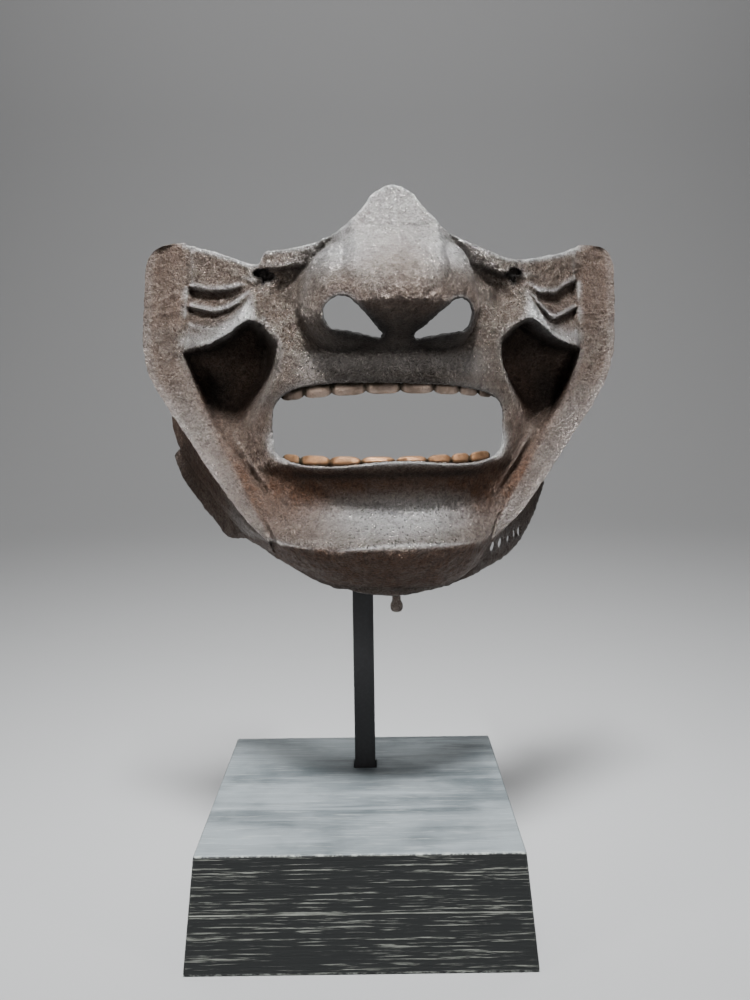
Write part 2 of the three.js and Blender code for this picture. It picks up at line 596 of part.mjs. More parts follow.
// A row of teeth on a strip behind the lip.
function teethRow(name, gaps, biteZ, hiddenZ) {
  const stations = [];
  for (let n = 0; n + 1 < gaps.length; n += 1) stations.push(...spread(gaps[n], gaps[n + 1], 4).slice(n ? 1 : 0));
  const rows = spread(0, 1, 3);
  const tooth = (p) => {
    const n = gaps.findIndex((g, k) => k > 0 && p <= g + 1e-6) - 1;
    return Math.abs(2 * (p - gaps[Math.max(n, 0)]) / (gaps[Math.max(n, 0) + 1] - gaps[Math.max(n, 0)]) - 1);
  };
  const height = (p, t) => {
    const bite = biteZ(p) + Math.sign(hiddenZ(p) - biteZ(p)) * 1.1 * tooth(p) ** 4;
    return bite + (hiddenZ(p) - bite) * t;
  };
  const place = ([p, t], back) => {
    const z = height(p, t);
    const pillow = 1.1 * (1 - tooth(p) ** 4) * Math.sin(Math.PI * clamp(0.15 + t * 1.2, 0, 1));
    const q = backDepth(p, z) + 2.8 - (back ? -TEETH_SHEET : pillow);
    return [p, q, z];
  };
  const shape = field(stations, rows);
  if (hiddenZ(0) < biteZ(0)) shape.triangles = shape.triangles.map((t) => [...t].reverse());
  shape.triangles = shape.triangles.map((t) => [...t].reverse());
  return named(name, sheet(shape, (x) => place(x, false), (x) => place(x, true)), copper());
}

const upperTeeth = () => teethRow('upper_teeth', UPPER_GAPS, (p) => 185.6 - 0.0016 * p * p, () => 192.0);
const lowerTeeth = () => teethRow('lower_teeth', LOWER_GAPS, (p) => 163.7 + 0.0012 * p * p, () => 155.5);

// Peg with a knob, hanging behind the lower edge of the throat rim.
function chinPeg() {
  const profile = [[0, 110.8], [1.4, 111.1], [2.2, 112.3], [2.2, 113.6], [1.5, 114.8], [1.5, 123.0],
    [0, 123.0]].map(([r, z]) => new THREE.Vector2(r, z));
  const geometry = new THREE.LatheGeometry(profile, 14);
  geometry.rotateX(Math.PI / 2);
  geometry.translate(0.6, -47.1, 0);
  return named('chin_peg', geometry, russetIron());
}

function standRod() {
  const bottom = BASE_HEIGHT - SOCKET_DEPTH;
  const geometry = new THREE.BoxGeometry(ROD_SIDE, ROD_SIDE, ROD_TOP - bottom);
  geometry.translate(ROD_X, ROD_Y, (ROD_TOP + bottom) / 2);
  return named('stand_rod', geometry, blackSteel());
}

// Arm from the rod to a pad behind the chin, where the guard is carried.
function chinArm() {
  const z = ROD_TOP - 6.0;
  const y = ROD_Y - ROD_SIDE / 2 - FIT;
  const arm = toSolid(box([ROD_X - 3.0, ARM_FRONT, z - 3.0], [ROD_X + 3.0, y, z + 3.0]));
  const pad = toSolid(box([ROD_X - 9.0, ARM_FRONT - 1.6, z - 5.0], [ROD_X + 11.0, ARM_FRONT + 0.4, z + 5.0]));
  return named('chin_arm', toGeometry(arm.add(pad)), blackSteel());
}

function standBase() {
  const block = new THREE.CylinderGeometry(BASE_TOP * Math.SQRT1_2, BASE_FOOT * Math.SQRT1_2, BASE_HEIGHT, 4);
  block.rotateX(Math.PI / 2);
  block.rotateZ(Math.PI / 4);
  block.translate(0, 0, BASE_HEIGHT / 2);
  const socket = new THREE.BoxGeometry(ROD_SIDE + 0.6, ROD_SIDE + 0.6, 2 * SOCKET_DEPTH);
  socket.translate(ROD_X, ROD_Y, BASE_HEIGHT);
  return named('stand_base', toGeometry(toSolid(block).subtract(toSolid(socket))), ebonisedOak());
}

const guard = new THREE.Group();
guard.position.set(MASK_X, MASK_Y, 0);
guard.rotation.z = MASK_TURN;
guard.add(facePlate(), upperTeeth(), lowerTeeth(), throatRim(), chinPeg());

const stand = new THREE.Group();
stand.add(chinArm(), standRod(), standBase());

const whole = new THREE.Group();
whole.name = 'face_guard_on_stand';
whole.add(guard, stand);

export default whole;
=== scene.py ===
"""Iron half face guard (menpo) with copper teeth on its display stand: the fine surface and its looks."""
import bpy
import math
import numpy as np
from mathutils import Matrix, Vector


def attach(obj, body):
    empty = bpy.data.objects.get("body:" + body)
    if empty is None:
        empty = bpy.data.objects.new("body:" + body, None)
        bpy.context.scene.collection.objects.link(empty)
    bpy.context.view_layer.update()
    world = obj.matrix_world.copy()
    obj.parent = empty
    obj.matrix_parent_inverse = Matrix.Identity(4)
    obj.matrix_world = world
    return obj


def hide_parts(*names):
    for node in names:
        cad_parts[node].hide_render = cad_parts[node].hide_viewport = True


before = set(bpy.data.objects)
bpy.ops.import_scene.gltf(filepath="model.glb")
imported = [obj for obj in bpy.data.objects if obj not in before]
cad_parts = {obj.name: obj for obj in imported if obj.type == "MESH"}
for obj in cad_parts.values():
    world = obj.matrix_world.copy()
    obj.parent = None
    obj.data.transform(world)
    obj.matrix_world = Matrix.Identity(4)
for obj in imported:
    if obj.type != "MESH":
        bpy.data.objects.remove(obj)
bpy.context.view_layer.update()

SHEET = 1.8            # thickness of the beaten iron
EAR_Z = 236.0          # height of the flange root at the ear
CORNER_Z = 136.0       # height of the flange root at the chin corner
EAR_HALF = (69.0, 70.8)     # half width at the ear, left and right
CHIN_HALF = (41.6, 34.8)    # half width at the chin corner, left and right
EAR_TOP = (236.4, 235.6)    # height of the top edge at the ear, left and right
EDGE_SWELL = 0.22      # how far a free edge bulges, as a share of the thickness
NO_HOLE = 50.0         # stands for a place far from every hole
DARKEST = 0.97         # most grime and painted shade that a place may have
FACE_COLUMNS = (112, 8, 16)
FACE_ROWS = (160, 12)
MASK_X = 7.8           # place of the guard on its stand
MASK_Y = 24.0
MASK_TURN = math.radians(6.0)
RIM_SHEET = 1.0
TEETH_SHEET = 1.1
TEETH_BEHIND = 2.8     # from the back of the sheet to the front of a tooth strip
TOOTH_SWELL = 1.1      # how far a tooth swells forward, and rounds off towards its sides
FIT = 0.45             # gap left between neighbouring pieces
BASE_FOOT = 115.0
BASE_TOP = 107.2
BASE_HEIGHT = 38.8
SOCKET_DEPTH = 12.0
SOCKET_PLAY = 0.3
ROD_SIDE = 8.0
ROD_X = 1.2
ROD_Y = 24.0
ROD_TOP = 152.0
ARM_FRONT = -24.2
PEG_PLACE = (0.6, -47.1, 0.0)

# flange root half width by height, left and right of the face (z, left, right)
ROOT = np.array([
    (132.0, 39.5, 32.5), (136.5, 41.6, 34.8), (142.2, 44.5, 38.2), (152.1, 49.4, 45.0),
    (162.3, 54.4, 51.8), (172.7, 60.1, 59.0), (183.8, 65.2, 66.2), (192.6, 68.5, 70.0),
    (200.5, 71.2, 72.0), (211.7, 69.9, 71.5), (223.7, 68.8, 71.0), (240.0, 68.7, 70.8)])
# depth of the flange root by height (z, q)
ROOT_Q = np.array([(130.0, -47.0), (136.0, -45.2), (142.0, -41.0), (152.0, -36.5), (162.0, -32.5),
                   (172.0, -29.0), (184.0, -26.0), (194.0, -25.0), (203.0, -25.2), (245.0, -25.2)])
# top edge height across the face (p, z)
TOP = np.array([(-69.1, 236.4), (-63.2, 234.9), (-53.0, 231.2), (-43.8, 227.9), (-41.4, 231.9),
                (-36.2, 232.3), (-29.7, 233.1), (-21.6, 235.6), (-15.2, 239.2), (-10.3, 243.9),
                (-5.2, 250.0), (0.8, 252.4), (6.3, 250.2), (11.0, 243.9), (15.9, 239.2), (23.1, 235.6),
                (30.5, 233.0), (42.5, 229.5), (55.9, 231.5), (70.8, 235.6)])
# chin ridge height across the face (p, z)
RIDGE = np.array([(-41.6, 136.4), (-37.0, 135.3), (-32.0, 134.8), (-22.6, 134.2), (-13.2, 135.3),
                  (-2.4, 136.3), (9.6, 136.1), (20.6, 135.1), (29.1, 134.3), (34.8, 134.8)])
# muzzle and chin: depth on the centre line and plan curvature by height (z, q, k)
MUZZLE = np.array([
    (130.0, -63.0, 0.0117), (134.0, -66.0, 0.0115), (136.5, -66.3, 0.0113), (139.5, -62.0, 0.0098),
    (144.0, -56.0, 0.0084), (149.0, -53.8, 0.0080), (154.0, -54.5, 0.0088), (158.5, -57.0, 0.0104),
    (163.0, -61.0, 0.0118), (175.0, -60.5, 0.0120), (188.0, -60.5, 0.0118), (196.0, -58.6, 0.0106),
    (203.0, -56.0, 0.0092), (212.0, -54.0, 0.0080)])
# cheekbone lower edge (e, z, stand-off)
SHELF = np.array([(36.0, 207.0, 0.0), (41.5, 208.6, 2.5), (47.0, 209.6, 8.0), (49.5, 208.4, 8.6),
                  (54.3, 205.2, 8.0), (61.5, 202.0, 6.2), (71.5, 200.4, 2.6)])
# inner edge of the cheek hollow (z, e)
HOLLOW = np.array([(168.0, 53.0), (175.0, 48.5), (181.6, 45.0), (188.5, 41.5), (195.0, 38.6),
                   (201.3, 38.2), (206.4, 41.5), (210.0, 46.0)])
# jaw crease (z, e)
JAW = np.array([(146.0, 40.5), (150.0, 42.5), (155.6, 46.3), (162.8, 51.2), (171.4, 56.2), (179.3, 58.0),
                (188.7, 53.0)])
# crow's-foot grooves, left and right (e, z of the first, z of the second)
FOOT_L = np.array([(46.0, 221.4, 220.0), (48.1, 221.6, 218.3), (53.2, 220.6, 214.8), (58.5, 220.4, 213.6),
                   (63.8, 221.4, 214.6), (69.5, 223.2, 216.6)])
FOOT_R = np.array([(46.0, 222.0, 221.0), (48.0, 221.0, 218.5), (52.3, 219.3, 214.0), (57.5, 219.3, 210.6),
                   (63.5, 222.6, 212.6), (71.5, 226.2, 217.0)])
# nose: centre line depth by height (z, q)
NOSE = np.array([(195.0, -52.0), (198.0, -55.8), (200.8, -60.2), (205.0, -66.8), (209.0, -72.4),
                 (212.0, -75.6), (214.5, -77.4), (217.5, -78.0), (220.5, -77.2), (224.5, -74.4),
                 (231.0, -67.4), (238.8, -57.8), (246.0, -52.8), (253.0, -48.2)])
# flange edge by station down the jaw (v, left p, right p, q, z)
FIN = np.array([
    (0.0, 75.6, 77.6, -26.6, 236.2), (0.012, 78.6, 80.2, -27.0, 234.6), (0.03, 80.9, 82.0, -27.0, 231.6),
    (0.06, 81.9, 82.8, -27.0, 227.6), (0.17, 82.7, 83.2, -27.0, 217.6), (0.33, 83.6, 83.4, -27.0, 202.6),
    (0.42, 82.4, 81.9, -27.5, 194.0), (0.52, 76.8, 76.6, -29.0, 183.0), (0.64, 69.2, 67.6, -32.0, 171.0),
    (0.74, 63.0, 60.2, -35.5, 161.4), (0.84, 56.2, 52.4, -39.5, 151.8), (0.93, 48.9, 43.6, -43.6, 142.4),
    (1.0, 42.6, 35.6, -46.2, 136.2)])
# rear edge of the jaw wall (v, left p, right p, q, z)
REAR = np.array([
    (0.0, 73.0, 73.5, 15.0, 231.0), (0.1, 75.5, 75.0, 19.0, 224.5), (0.5, 79.0, 76.0, 20.0, 199.0),
    (0.85, 79.0, 72.5, 18.5, 176.0), (1.0, 77.4, 69.5, 16.5, 167.5)])
# lower edge of the chin band: front part by share of the half width (u, p, q, z)
BAND = np.array([(-1.0, -40.5, -36.0, 129.6), (-0.76, -31.9, -42.0, 125.4), (-0.42, -17.2, -50.0, 121.2),
                 (0.0, -1.0, -54.0, 120.9), (0.4, 13.0, -51.5, 120.4), (0.72, 23.5, -45.0, 121.6),
                 (0.88, 29.0, -41.0, 124.6), (1.0, 34.0, -39.5, 131.0)])
# lower edge of the throat rim (column, p, q, z)
RIM_EDGE = np.array([
    (-4.0, -78.6, 17.0, 161.8), (-3.86, -75.0, 11.0, 153.6), (-3.7, -69.6, 4.0, 146.4),
    (-3.5, -62.4, -4.0, 138.4), (-3.38, -56.6, -11.0, 133.0), (-3.32, -53.0, -15.0, 133.4),
    (-3.0, -41.0, -27.0, 128.0), (-1.0, -38.0, -32.0, 127.0), (-0.5, -20.0, -45.0, 119.6),
    (0.0, 0.0, -50.5, 117.2), (0.5, 14.0, -46.5, 118.2), (1.0, 30.0, -35.0, 120.6),
    (3.0, 36.0, -28.0, 121.6), (3.25, 45.5, -17.0, 123.6), (3.5, 54.0, -6.0, 127.6),
    (3.75, 62.5, 6.0, 135.6), (4.0, 69.5, 15.0, 147.6)])
# tooth boundaries along each row (p)
UPPER_GAPS = np.array([-37.0, -29.4, -20.6, -9.7, 1.5, 12.7, 21.9, 29.2, 35.2])
LOWER_GAPS = np.array([-37.0, -31.2, -21.6, -11.7, -0.5, 10.0, 18.6, 25.6, 34.4])
# lacing holes on the right of the throat rim (column, share of the drop)
LACES = np.array([(3.165, 1.438), (3.25, 1.489), (3.36, 1.626), (3.455, 1.715), (3.532, 1.827)])
LACE_RADIUS = 2.2      # before the rounded edge takes its share
UPPER_HIDDEN = 192.0   # height of each tooth strip's far edge, behind the lip
LOWER_HIDDEN = 155.5
# outlines of the two torn pits by the bridge (middle p, middle z, corners)
TORN = (
    (-41.8, 224.7, [(-3.6, 1.3), (-2.1, 2.1), (1.2, 2.0), (1.7, 0.9), (3.3, 0.5), (3.6, -0.8), (2.3, -1.8),
                    (0.5, -1.8), (0.2, -2.9), (-0.5, -2.6), (-0.7, -0.9), (-1.9, -0.8), (-3.4, -0.2)]),
    (42.3, 224.5, [(-3.1, 0.7), (-2.0, 1.0), (-1.5, 2.3), (0.6, 2.6), (3.2, 1.6), (3.0, 0.1), (0.9, -0.4),
                   (1.4, -2.7), (0.1, -2.5), (-0.9, -1.3), (-1.6, -0.2), (-2.9, -0.7)]))
TORN_DEPTH = 1.25


def curve(table, x, column=1):
    """smooth monotone curve through the rows of a table"""
    xs = table[:, 0]
    ys = table[:, column]
    h = np.diff(xs)
    d = np.diff(ys) / h
    m = np.zeros(len(xs))
    same = d[:-1] * d[1:] > 0
    m[1:-1][same] = 2.0 * d[:-1][same] * d[1:][same] / (d[:-1][same] + d[1:][same])
    m[0] = d[0]
    m[-1] = d[-1]
    x = np.clip(x, xs[0], xs[-1])
    i = np.clip(np.searchsorted(xs, x) - 1, 0, len(xs) - 2)
    t = (x - xs[i]) / h[i]
    return (ys[i] * (1 + 2 * t) * (1 - t) ** 2 + h[i] * m[i] * t * (1 - t) ** 2
            + ys[i + 1] * t * t * (3 - 2 * t) + h[i] * m[i + 1] * t * t * (t - 1))


def step(a, b, x):
    t = np.clip((x - a) / (b - a), 0.0, 1.0)
    return t * t * (3.0 - 2.0 * t)


def bell(x, width):
    return np.exp(-(x / width) ** 2)


def soft_min(a, b, k):
    h = np.clip(0.5 + 0.5 * (b - a) / k, 0.0, 1.0)
    return b + (a - b) * h - k * h * (1.0 - h)


def evened(p, z):
    """half width brought to the left side's proportions"""
    ratio = curve(ROOT, z, 1) / curve(ROOT, z, 2)
    return np.where(p > 0, p * ratio, -p)


def lower_face(e, z):
    muzzle = curve(MUZZLE, z, 1) + curve(MUZZLE, z, 2) * e * e
    root = curve(ROOT_Q, z)
    q = soft_min(muzzle, root, 4.0)
    inside = e - curve(HOLLOW, z)
    floor = root + 2.5 + 3.0 * bell(z - 190.0, 9.0) - 3.0 * step(198.0, 210.0, z)
    soft = 4.5 + 4.0 * (1.0 - step(178.0, 192.0, z))
    depth = step(-1.2, soft, inside) * step(164.0, 182.0, z)
    q = np.where(floor > q, q + (floor - q) * depth, q)
    crease = e - curve(JAW, z)
    q = q + 1.1 * bell(crease, 1.3) * step(148.0, 154.0, z) * (1.0 - step(166.0, 178.0, z))
    return q - 0.9 * bell(crease + 3.0, 0.9) * step(150.0, 156.0, z) * (1.0 - step(168.0, 176.0, z))


def crows_feet(p, e, z):
    out = np.zeros_like(z)
    depth = 3.6 * step(45.0, 53.0, e)
    for side, table in ((-1, FOOT_L), (1, FOOT_R)):
        first = curve(table, e, 1)
        second = curve(table, e, 2)
        gap = np.maximum(first - second, 1.0)
        for line, run in ((first, gap), (second, gap * 0.9)):
            d = line - z
            tooth = step(-0.9, 1.7, d) * np.clip(1.0 - (d - 1.0) / np.maximum(run - 1.0, 0.5), 0.0, 1.0)
            out = out + np.where(p * side > 0, depth * tooth, 0.0)
    return out


def upper_face(p, e, z):
    q = -50.0 + 0.0053 * e * e
    edge = curve(SHELF, e, 1)
    stand = curve(SHELF, e, 2)
    rise = np.maximum(z - edge, 0.0)
    q = q - stand * np.exp(-(rise / 8.0) ** 1.6)
    q = q + crows_feet(p, e, z)
    top = curve(TOP, p)
    below = top - z
    strip = (1.0 - step(4.9, 6.3, below)) * step(13.0, 17.0, e) * (1.0 - step(40.0, 52.0, e))
    q = q - 1.7 * strip
    run = step(14.0, 17.0, e) * (1.0 - step(34.0, 46.0, e))
    line = 237.0 - 0.62 * (e - 15.0) - 0.006 * (e - 15.0) ** 2
    return q + 3.4 * run * bell(z - line + 1.0, 3.0 + 0.12 * (e - 15.0))


def nose(p, z):
    c = p + 1.0 - 1.6 * step(222.0, 238.0, z)
    a = np.abs(c)
    half = 13.6 + 2.0 * (1.0 - step(212.0, 230.0, z))
    round_off = 0.5 + 6.0 * (1.0 - step(214.0, 228.0, z))
    side = 0.5 * (a - half + np.sqrt((a - half) ** 2 + round_off ** 2))
    wedge = curve(NOSE, z) + 0.009 * c * c + 1.6 * side - 0.4 * round_off
    wedge = wedge - 0.35 * bell(c, 0.9) * step(224.0, 236.0, z)
    drop = z - 238.9 - 0.008 * c * c
    fold = step(-1.6, -0.1, drop) * (1.0 - step(-0.1, 0.35, drop))
    fold = fold * (1.0 - step(8.5, 12.5, a)) * step(0.6, 2.2, a)
    wedge = wedge + 0.55 * fold
    up = np.where(z > 213.5, 21.5, 15.0)
    r = 1.0 - ((a - 16.0) / 13.6) ** 2 - ((z - 213.5) / up) ** 2
    wing = np.where(r > 0.0, -46.5 - 24.5 * np.sqrt(np.maximum(r, 0.0)), -46.5 - 60.0 * r)
    return soft_min(wedge, wing, 1.0 + 8.5 * (1.0 - step(213.0, 227.0, z)))


def mouth(p, z):
    """negative inside the mouth opening"""
    middle, above, below = 174.2, 3.4, 4.5
    c = (p + 0.5) / 39.9
    high = 14.8 - 0.035 * p
    low = 13.4 - 2.5 * bell(p, 18.0)
    up = np.abs(c) ** above + (np.maximum(z - middle, 0.0) / high) ** above
    down = np.abs(c) ** below + (np.maximum(middle - z, 0.0) / low) ** below
    k = np.where(z > middle, up ** (1 / above), down ** (1 / below))
    return (k - 1.0) * 14.0


def teardrop(p, z, a, b, ra, rb):
    dp = b[0] - a[0]
    dz = b[1] - a[1]
    t = np.clip(((p - a[0]) * dp + (z - a[1]) * dz) / (dp * dp + dz * dz), 0.0, 1.0)
    return np.hypot(p - a[0] - t * dp, z - a[1] - t * dz) - ra - t * (rb - ra)


def nostrils(p, z):
    left = teardrop(p, z, (-18.6, 210.4), (-6.0, 204.0), 5.4, 1.3)
    right = teardrop(p, z, (18.9, 209.6), (6.2, 203.8), 5.5, 1.5)
    return np.minimum(left, right)


def outline_gap(x, y, corners):
    """signed distance to a closed outline, negative inside"""
    far = np.full(np.shape(x), 1e9)
    inside = np.zeros(np.shape(x), bool)
    for (ax, ay), (bx, by) in zip(corners, corners[1:] + corners[:1]):
        along = (x - ax) * (bx - ax) + (y - ay) * (by - ay)
        t = np.clip(along / ((bx - ax) ** 2 + (by - ay) ** 2), 0.0, 1.0)
        far = np.minimum(far, np.hypot(x - ax - t * (bx - ax), y - ay - t * (by - ay)))
        if ay != by:
            one = (x - ax) * (by - ay)
            other = (bx - ax) * (y - ay)
            across = one < other if by > ay else one > other
            inside ^= ((ay > y) != (by > y)) & across
    return np.where(inside, -far, far)


def torn_pits(p, z):
    return np.minimum(*[outline_gap(p - cp, z - cz, corners) for cp, cz, corners in TORN])


def cuts(p, z):
    return np.minimum(np.minimum(mouth(p, z), nostrils(p, z)), torn_pits(p, z))


def face_q(p, z):
    e = evened(p, z)
    edge = curve(SHELF, e, 1)
    width = 1.3 + 8.0 * (1.0 - step(38.0, 48.0, e))
    share = step(-width, width * 0.25, z - edge)
    q = lower_face(e, z) * (1.0 - share) + upper_face(p, e, z) * share
    q = soft_min(q, nose(p, z), 1.0)
    seam = curve(ROOT, z, 1) - e
    rim_q = curve(ROOT_Q, z)
    q = q + (rim_q - q) * (1.0 - step(0.5, 2.3, seam))
    m = mouth(p, z)
    lip = bell(np.maximum(m, 0.0), 2.2)
    curl = np.where(z < 172.0, 2.2, 0.9) * (1.0 - 0.5 * step(30.0, 40.0, e))
    return q - curl * lip * step(150.0, 158.0, z)


# places over which the sheet's thickness is taken, as shares of it
DISC = [(0.0, 0.0)] + [(r * np.cos(t), r * np.sin(t)) for r in (0.6, 0.95)
                       for t in np.arange(8) * np.pi / 4]


def face_inner(p, z, sheet=SHEET):
    """the back of the sheet: the front surface moved inward by the sheet thickness"""
    best = None
    for x, y in DISC:
        q = face_q(p + sheet * x, z + sheet * y) + sheet * np.sqrt(max(0.0, 1 - x * x - y * y))
        best = q if best is None else np.maximum(best, q)
    return best


def on_plate(c, v):
    """side, share of the half width, row, root half width, and place on the face plate"""
    side = np.where(c < 0, -1.0, 1.0)
    u = np.clip(np.abs(c), 0.0, 1.0)
    row = np.clip(v, 0.0, 1.0)
    z_root = EAR_Z + (CORNER_Z - EAR_Z) * row
    root = np.where(side < 0, curve(ROOT, z_root, 1), curve(ROOT, z_root, 2))
    top = curve(TOP, side * u * np.where(side < 0, *EAR_HALF))
    low = curve(RIDGE, side * u * np.where(side < 0, *CHIN_HALF))
    return side, u, row, root, side * u * root, low + (top - low) * (1.0 - row)


def shell(c, v):
    """outer and inner point of the shell at column c, row v (arrays)"""
    side, u, row, root, p, z = on_plate(c, v)
    k = np.abs(c)
    out = np.stack([p, face_q(p, z), z], -1)
    inn = np.stack([p, face_inner(p, z), z], -1)
    # keep the inner face clear of the wall near the root
    inset = step(0.9, 1.0, u)
    inn[..., 0] -= side * SHEET * inset
    # flange and jaw wall, taken at the root
    pr = side * root
    zt = np.where(side < 0, curve(RIDGE, -CHIN_HALF[0]), curve(RIDGE, CHIN_HALF[1]))
    zr = zt + (np.where(side < 0, *EAR_TOP) - zt) * (1.0 - row)
    qr = face_q(pr, zr)
    root_pt = np.stack([pr, qr, zr], -1)
    fin = np.stack([side * np.where(side < 0, curve(FIN, row, 1), curve(FIN, row, 2)),
                    curve(FIN, row, 3), curve(FIN, row, 4)], -1)
    back = np.array([0.0, 1.0, 0.0])
    f = np.clip(k - 1.0, 0.0, 1.0)[..., None]
    bulge = (np.sin(np.pi * f) * (1 - step(0.0, 0.06, row))[..., None]) * np.array([0.0, 0.0, 0.9])
    finout = root_pt + (fin - root_pt) * f + bulge + back * 0.8 * np.sin(np.pi * f)
    g = np.clip(k - 2.0, 0.0, 1.0)[..., None]
    thick = (2.0 - 1.2 * step(0.9, 1.0, row))[..., None]
    rear_root = root_pt + back * (thick + 0.6) + side[..., None] * np.array([1.0, 0.0, 0.0]) * 0.8
    fin_back = fin + back * thick * 0.8
    finback = fin_back + (rear_root - fin_back) * g + back * 0.8 * np.sin(np.pi * (1 - g))
    s = np.clip(k - 3.0, 0.0, 1.0)[..., None]
    rear = np.stack([side * np.where(side < 0, curve(REAR, row, 1), curve(REAR, row, 2)),
                     curve(REAR, row, 3), curve(REAR, row, 4)], -1)
    share = np.concatenate([s ** 1.05, s, s ** (1.0 + 0.7 * row[..., None])], -1)
    wall = rear_root + (rear - rear_root) * share
    out = np.where((k > 1.0)[..., None], finout, out)
    out = np.where((k > 2.0)[..., None], finback, out)
    out = np.where((k > 3.0)[..., None], wall, out)
    inroot = np.stack([pr - side * SHEET, np.maximum(face_inner(pr, zr), qr + 1.2), zr], -1)
    inrear = rear_root - side[..., None] * np.array([SHEET + 0.3, 0.0, 0.0]) + back * 0.9
    h = np.clip((k - 1.0) / 2.0, 0.0, 1.0)[..., None]
    infin = inroot + (inrear - inroot) * h
    inwall = wall + (inrear - rear_root) + (np.array([0.0, -0.9, 0.0])) * s
    inn = np.where((k > 1.0)[..., None], infin, inn)
    inn = np.where((k > 3.0)[..., None], inwall, inn)
    # band below the ridge
    b = np.clip(v - 1.0, 0.0, 1.0)[..., None]
    su = np.clip(c, -1.0, 1.0)
    low_pt = np.stack([curve(BAND, su, 1), curve(BAND, su, 2), curve(BAND, su, 3)], -1)
    fall = np.where(side < 0, 6.4 - 4.6 * s[..., 0], 3.0 - 1.6 * s[..., 0])[..., None]
    dirn = np.where(side[..., None] < 0, np.array([0.25, 0.35, -0.9]), np.array([-0.2, 0.35, -0.9]))
    push = (1.0 - step(0.0, 0.3, s)) * np.where(side < 0, 0.8, 1.15)[..., None]
    dirn = dirn + back * push
    side_low = wall + dirn * fall
    corner = np.clip((k - 1.0) / 2.0, 0.0, 1.0)[..., None]
    start = rear_root + dirn * np.where(side < 0, 6.4, 3.0)[..., None]
    mid_low = low_pt + (start - low_pt) * corner
    low_pt = np.where((k > 1.0)[..., None], mid_low, low_pt)
    low_pt = np.where((k > 3.0)[..., None], side_low, low_pt)
    bow = np.sin(np.pi * b) * 1.6 * (1.0 - step(0.72, 1.0, k))[..., None]
    inward = inn - out
    inward = inward / np.maximum(np.linalg.norm(inward, axis=-1, keepdims=True), 1e-6)
    band_out = out + (low_pt - out) * b - back * bow
    plan = np.stack([-su * 0.55, np.sqrt(1 - (su * 0.55) ** 2), np.zeros_like(su)], -1)
    plan = np.where((k > 1.0)[..., None], side[..., None] * np.array([-0.92, 0.38, 0.0]), plan)
    band_in = inn + (low_pt + plan * SHEET - inn) * b - back * bow
    out = np.where((v > 1.0)[..., None], band_out, out)
    inn = np.where((v > 1.0)[..., None], band_in, inn)
    return out, inn


def grid(cs, vs):
    """triangulated field over the columns and rows"""
    nc, nv = len(cs), len(vs)
    C, V = np.meshgrid(cs, vs, indexing='ij')
    pts = np.stack([C.ravel(), V.ravel()], -1)
    tris = []
    for i in range(nc - 1):
        for j in range(nv - 1):
            a = i * nv + j
            b, c, d = a + nv, a + nv + 1, a + 1
            if (i + j) % 2:
                tris += [(a, b, c), (a, c, d)]
            else:
                tris += [(a, b, d), (b, c, d)]
    return pts, np.array(tris)


def half_edges(tris):
    return np.concatenate([tris[:, [0, 1]], tris[:, [1, 2]], tris[:, [2, 0]]])


def clip(pts, tris, h_of, snap=0.2):
    """drop the part of the field where h_of < 0, with clean edges"""
    pts = pts.copy()
    state = np.where(h_of(pts) > 0, 1, -1)
    edges = np.unique(np.sort(half_edges(tris), axis=1), axis=0)

    def crossing(pairs):
        a, b = pts[pairs[:, 0]], pts[pairs[:, 1]]
        first = state[pairs[:, 0]] > 0
        lo = np.zeros(len(pairs))
        hi = np.ones(len(pairs))
        for _ in range(18):
            mid = 0.5 * (lo + hi)
            same = (h_of(a + (b - a) * mid[:, None]) > 0) == first
            lo = np.where(same, mid, lo)
            hi = np.where(same, hi, mid)
        return 0.5 * (lo + hi)

    cross = edges[state[edges[:, 0]] != state[edges[:, 1]]]
    nearest = {}
    for (a, b), share in zip(cross.tolist(), crossing(cross)):
        for spot, other, d in ((a, b, share), (b, a, 1 - share)):
            if d < snap and (spot not in nearest or d < nearest[spot][0]):
                nearest[spot] = (d, pts[spot] + (pts[other] - pts[spot]) * d)
    for spot, (_, place) in nearest.items():
        pts[spot] = place
        state[spot] = 0
    cross = edges[state[edges[:, 0]] * state[edges[:, 1]] < 0]
    t = crossing(cross)[:, None]
    made = {tuple(pair): len(pts) + n for n, pair in enumerate(cross.tolist())}
    pts = np.concatenate([pts, pts[cross[:, 0]] * (1 - t) + pts[cross[:, 1]] * t])
    s = state[tris]
    parts = [tris[(s >= 0).all(1) & (s > 0).any(1)]]
    for tri in tris[(s > 0).any(1) & (s < 0).any(1)].tolist():
        ring = []
        for a, b in zip(tri, tri[1:] + tri[:1]):
            if state[a] >= 0:
                ring.append(a)
            if state[a] * state[b] < 0:
                ring.append(made[min(a, b), max(a, b)])
        parts.append(np.array([(ring[0], ring[n], ring[n + 1]) for n in range(1, len(ring) - 1)]))
    used, index = np.unique(np.concatenate(parts), return_inverse=True)
    return pts[used], index.reshape(-1, 3)


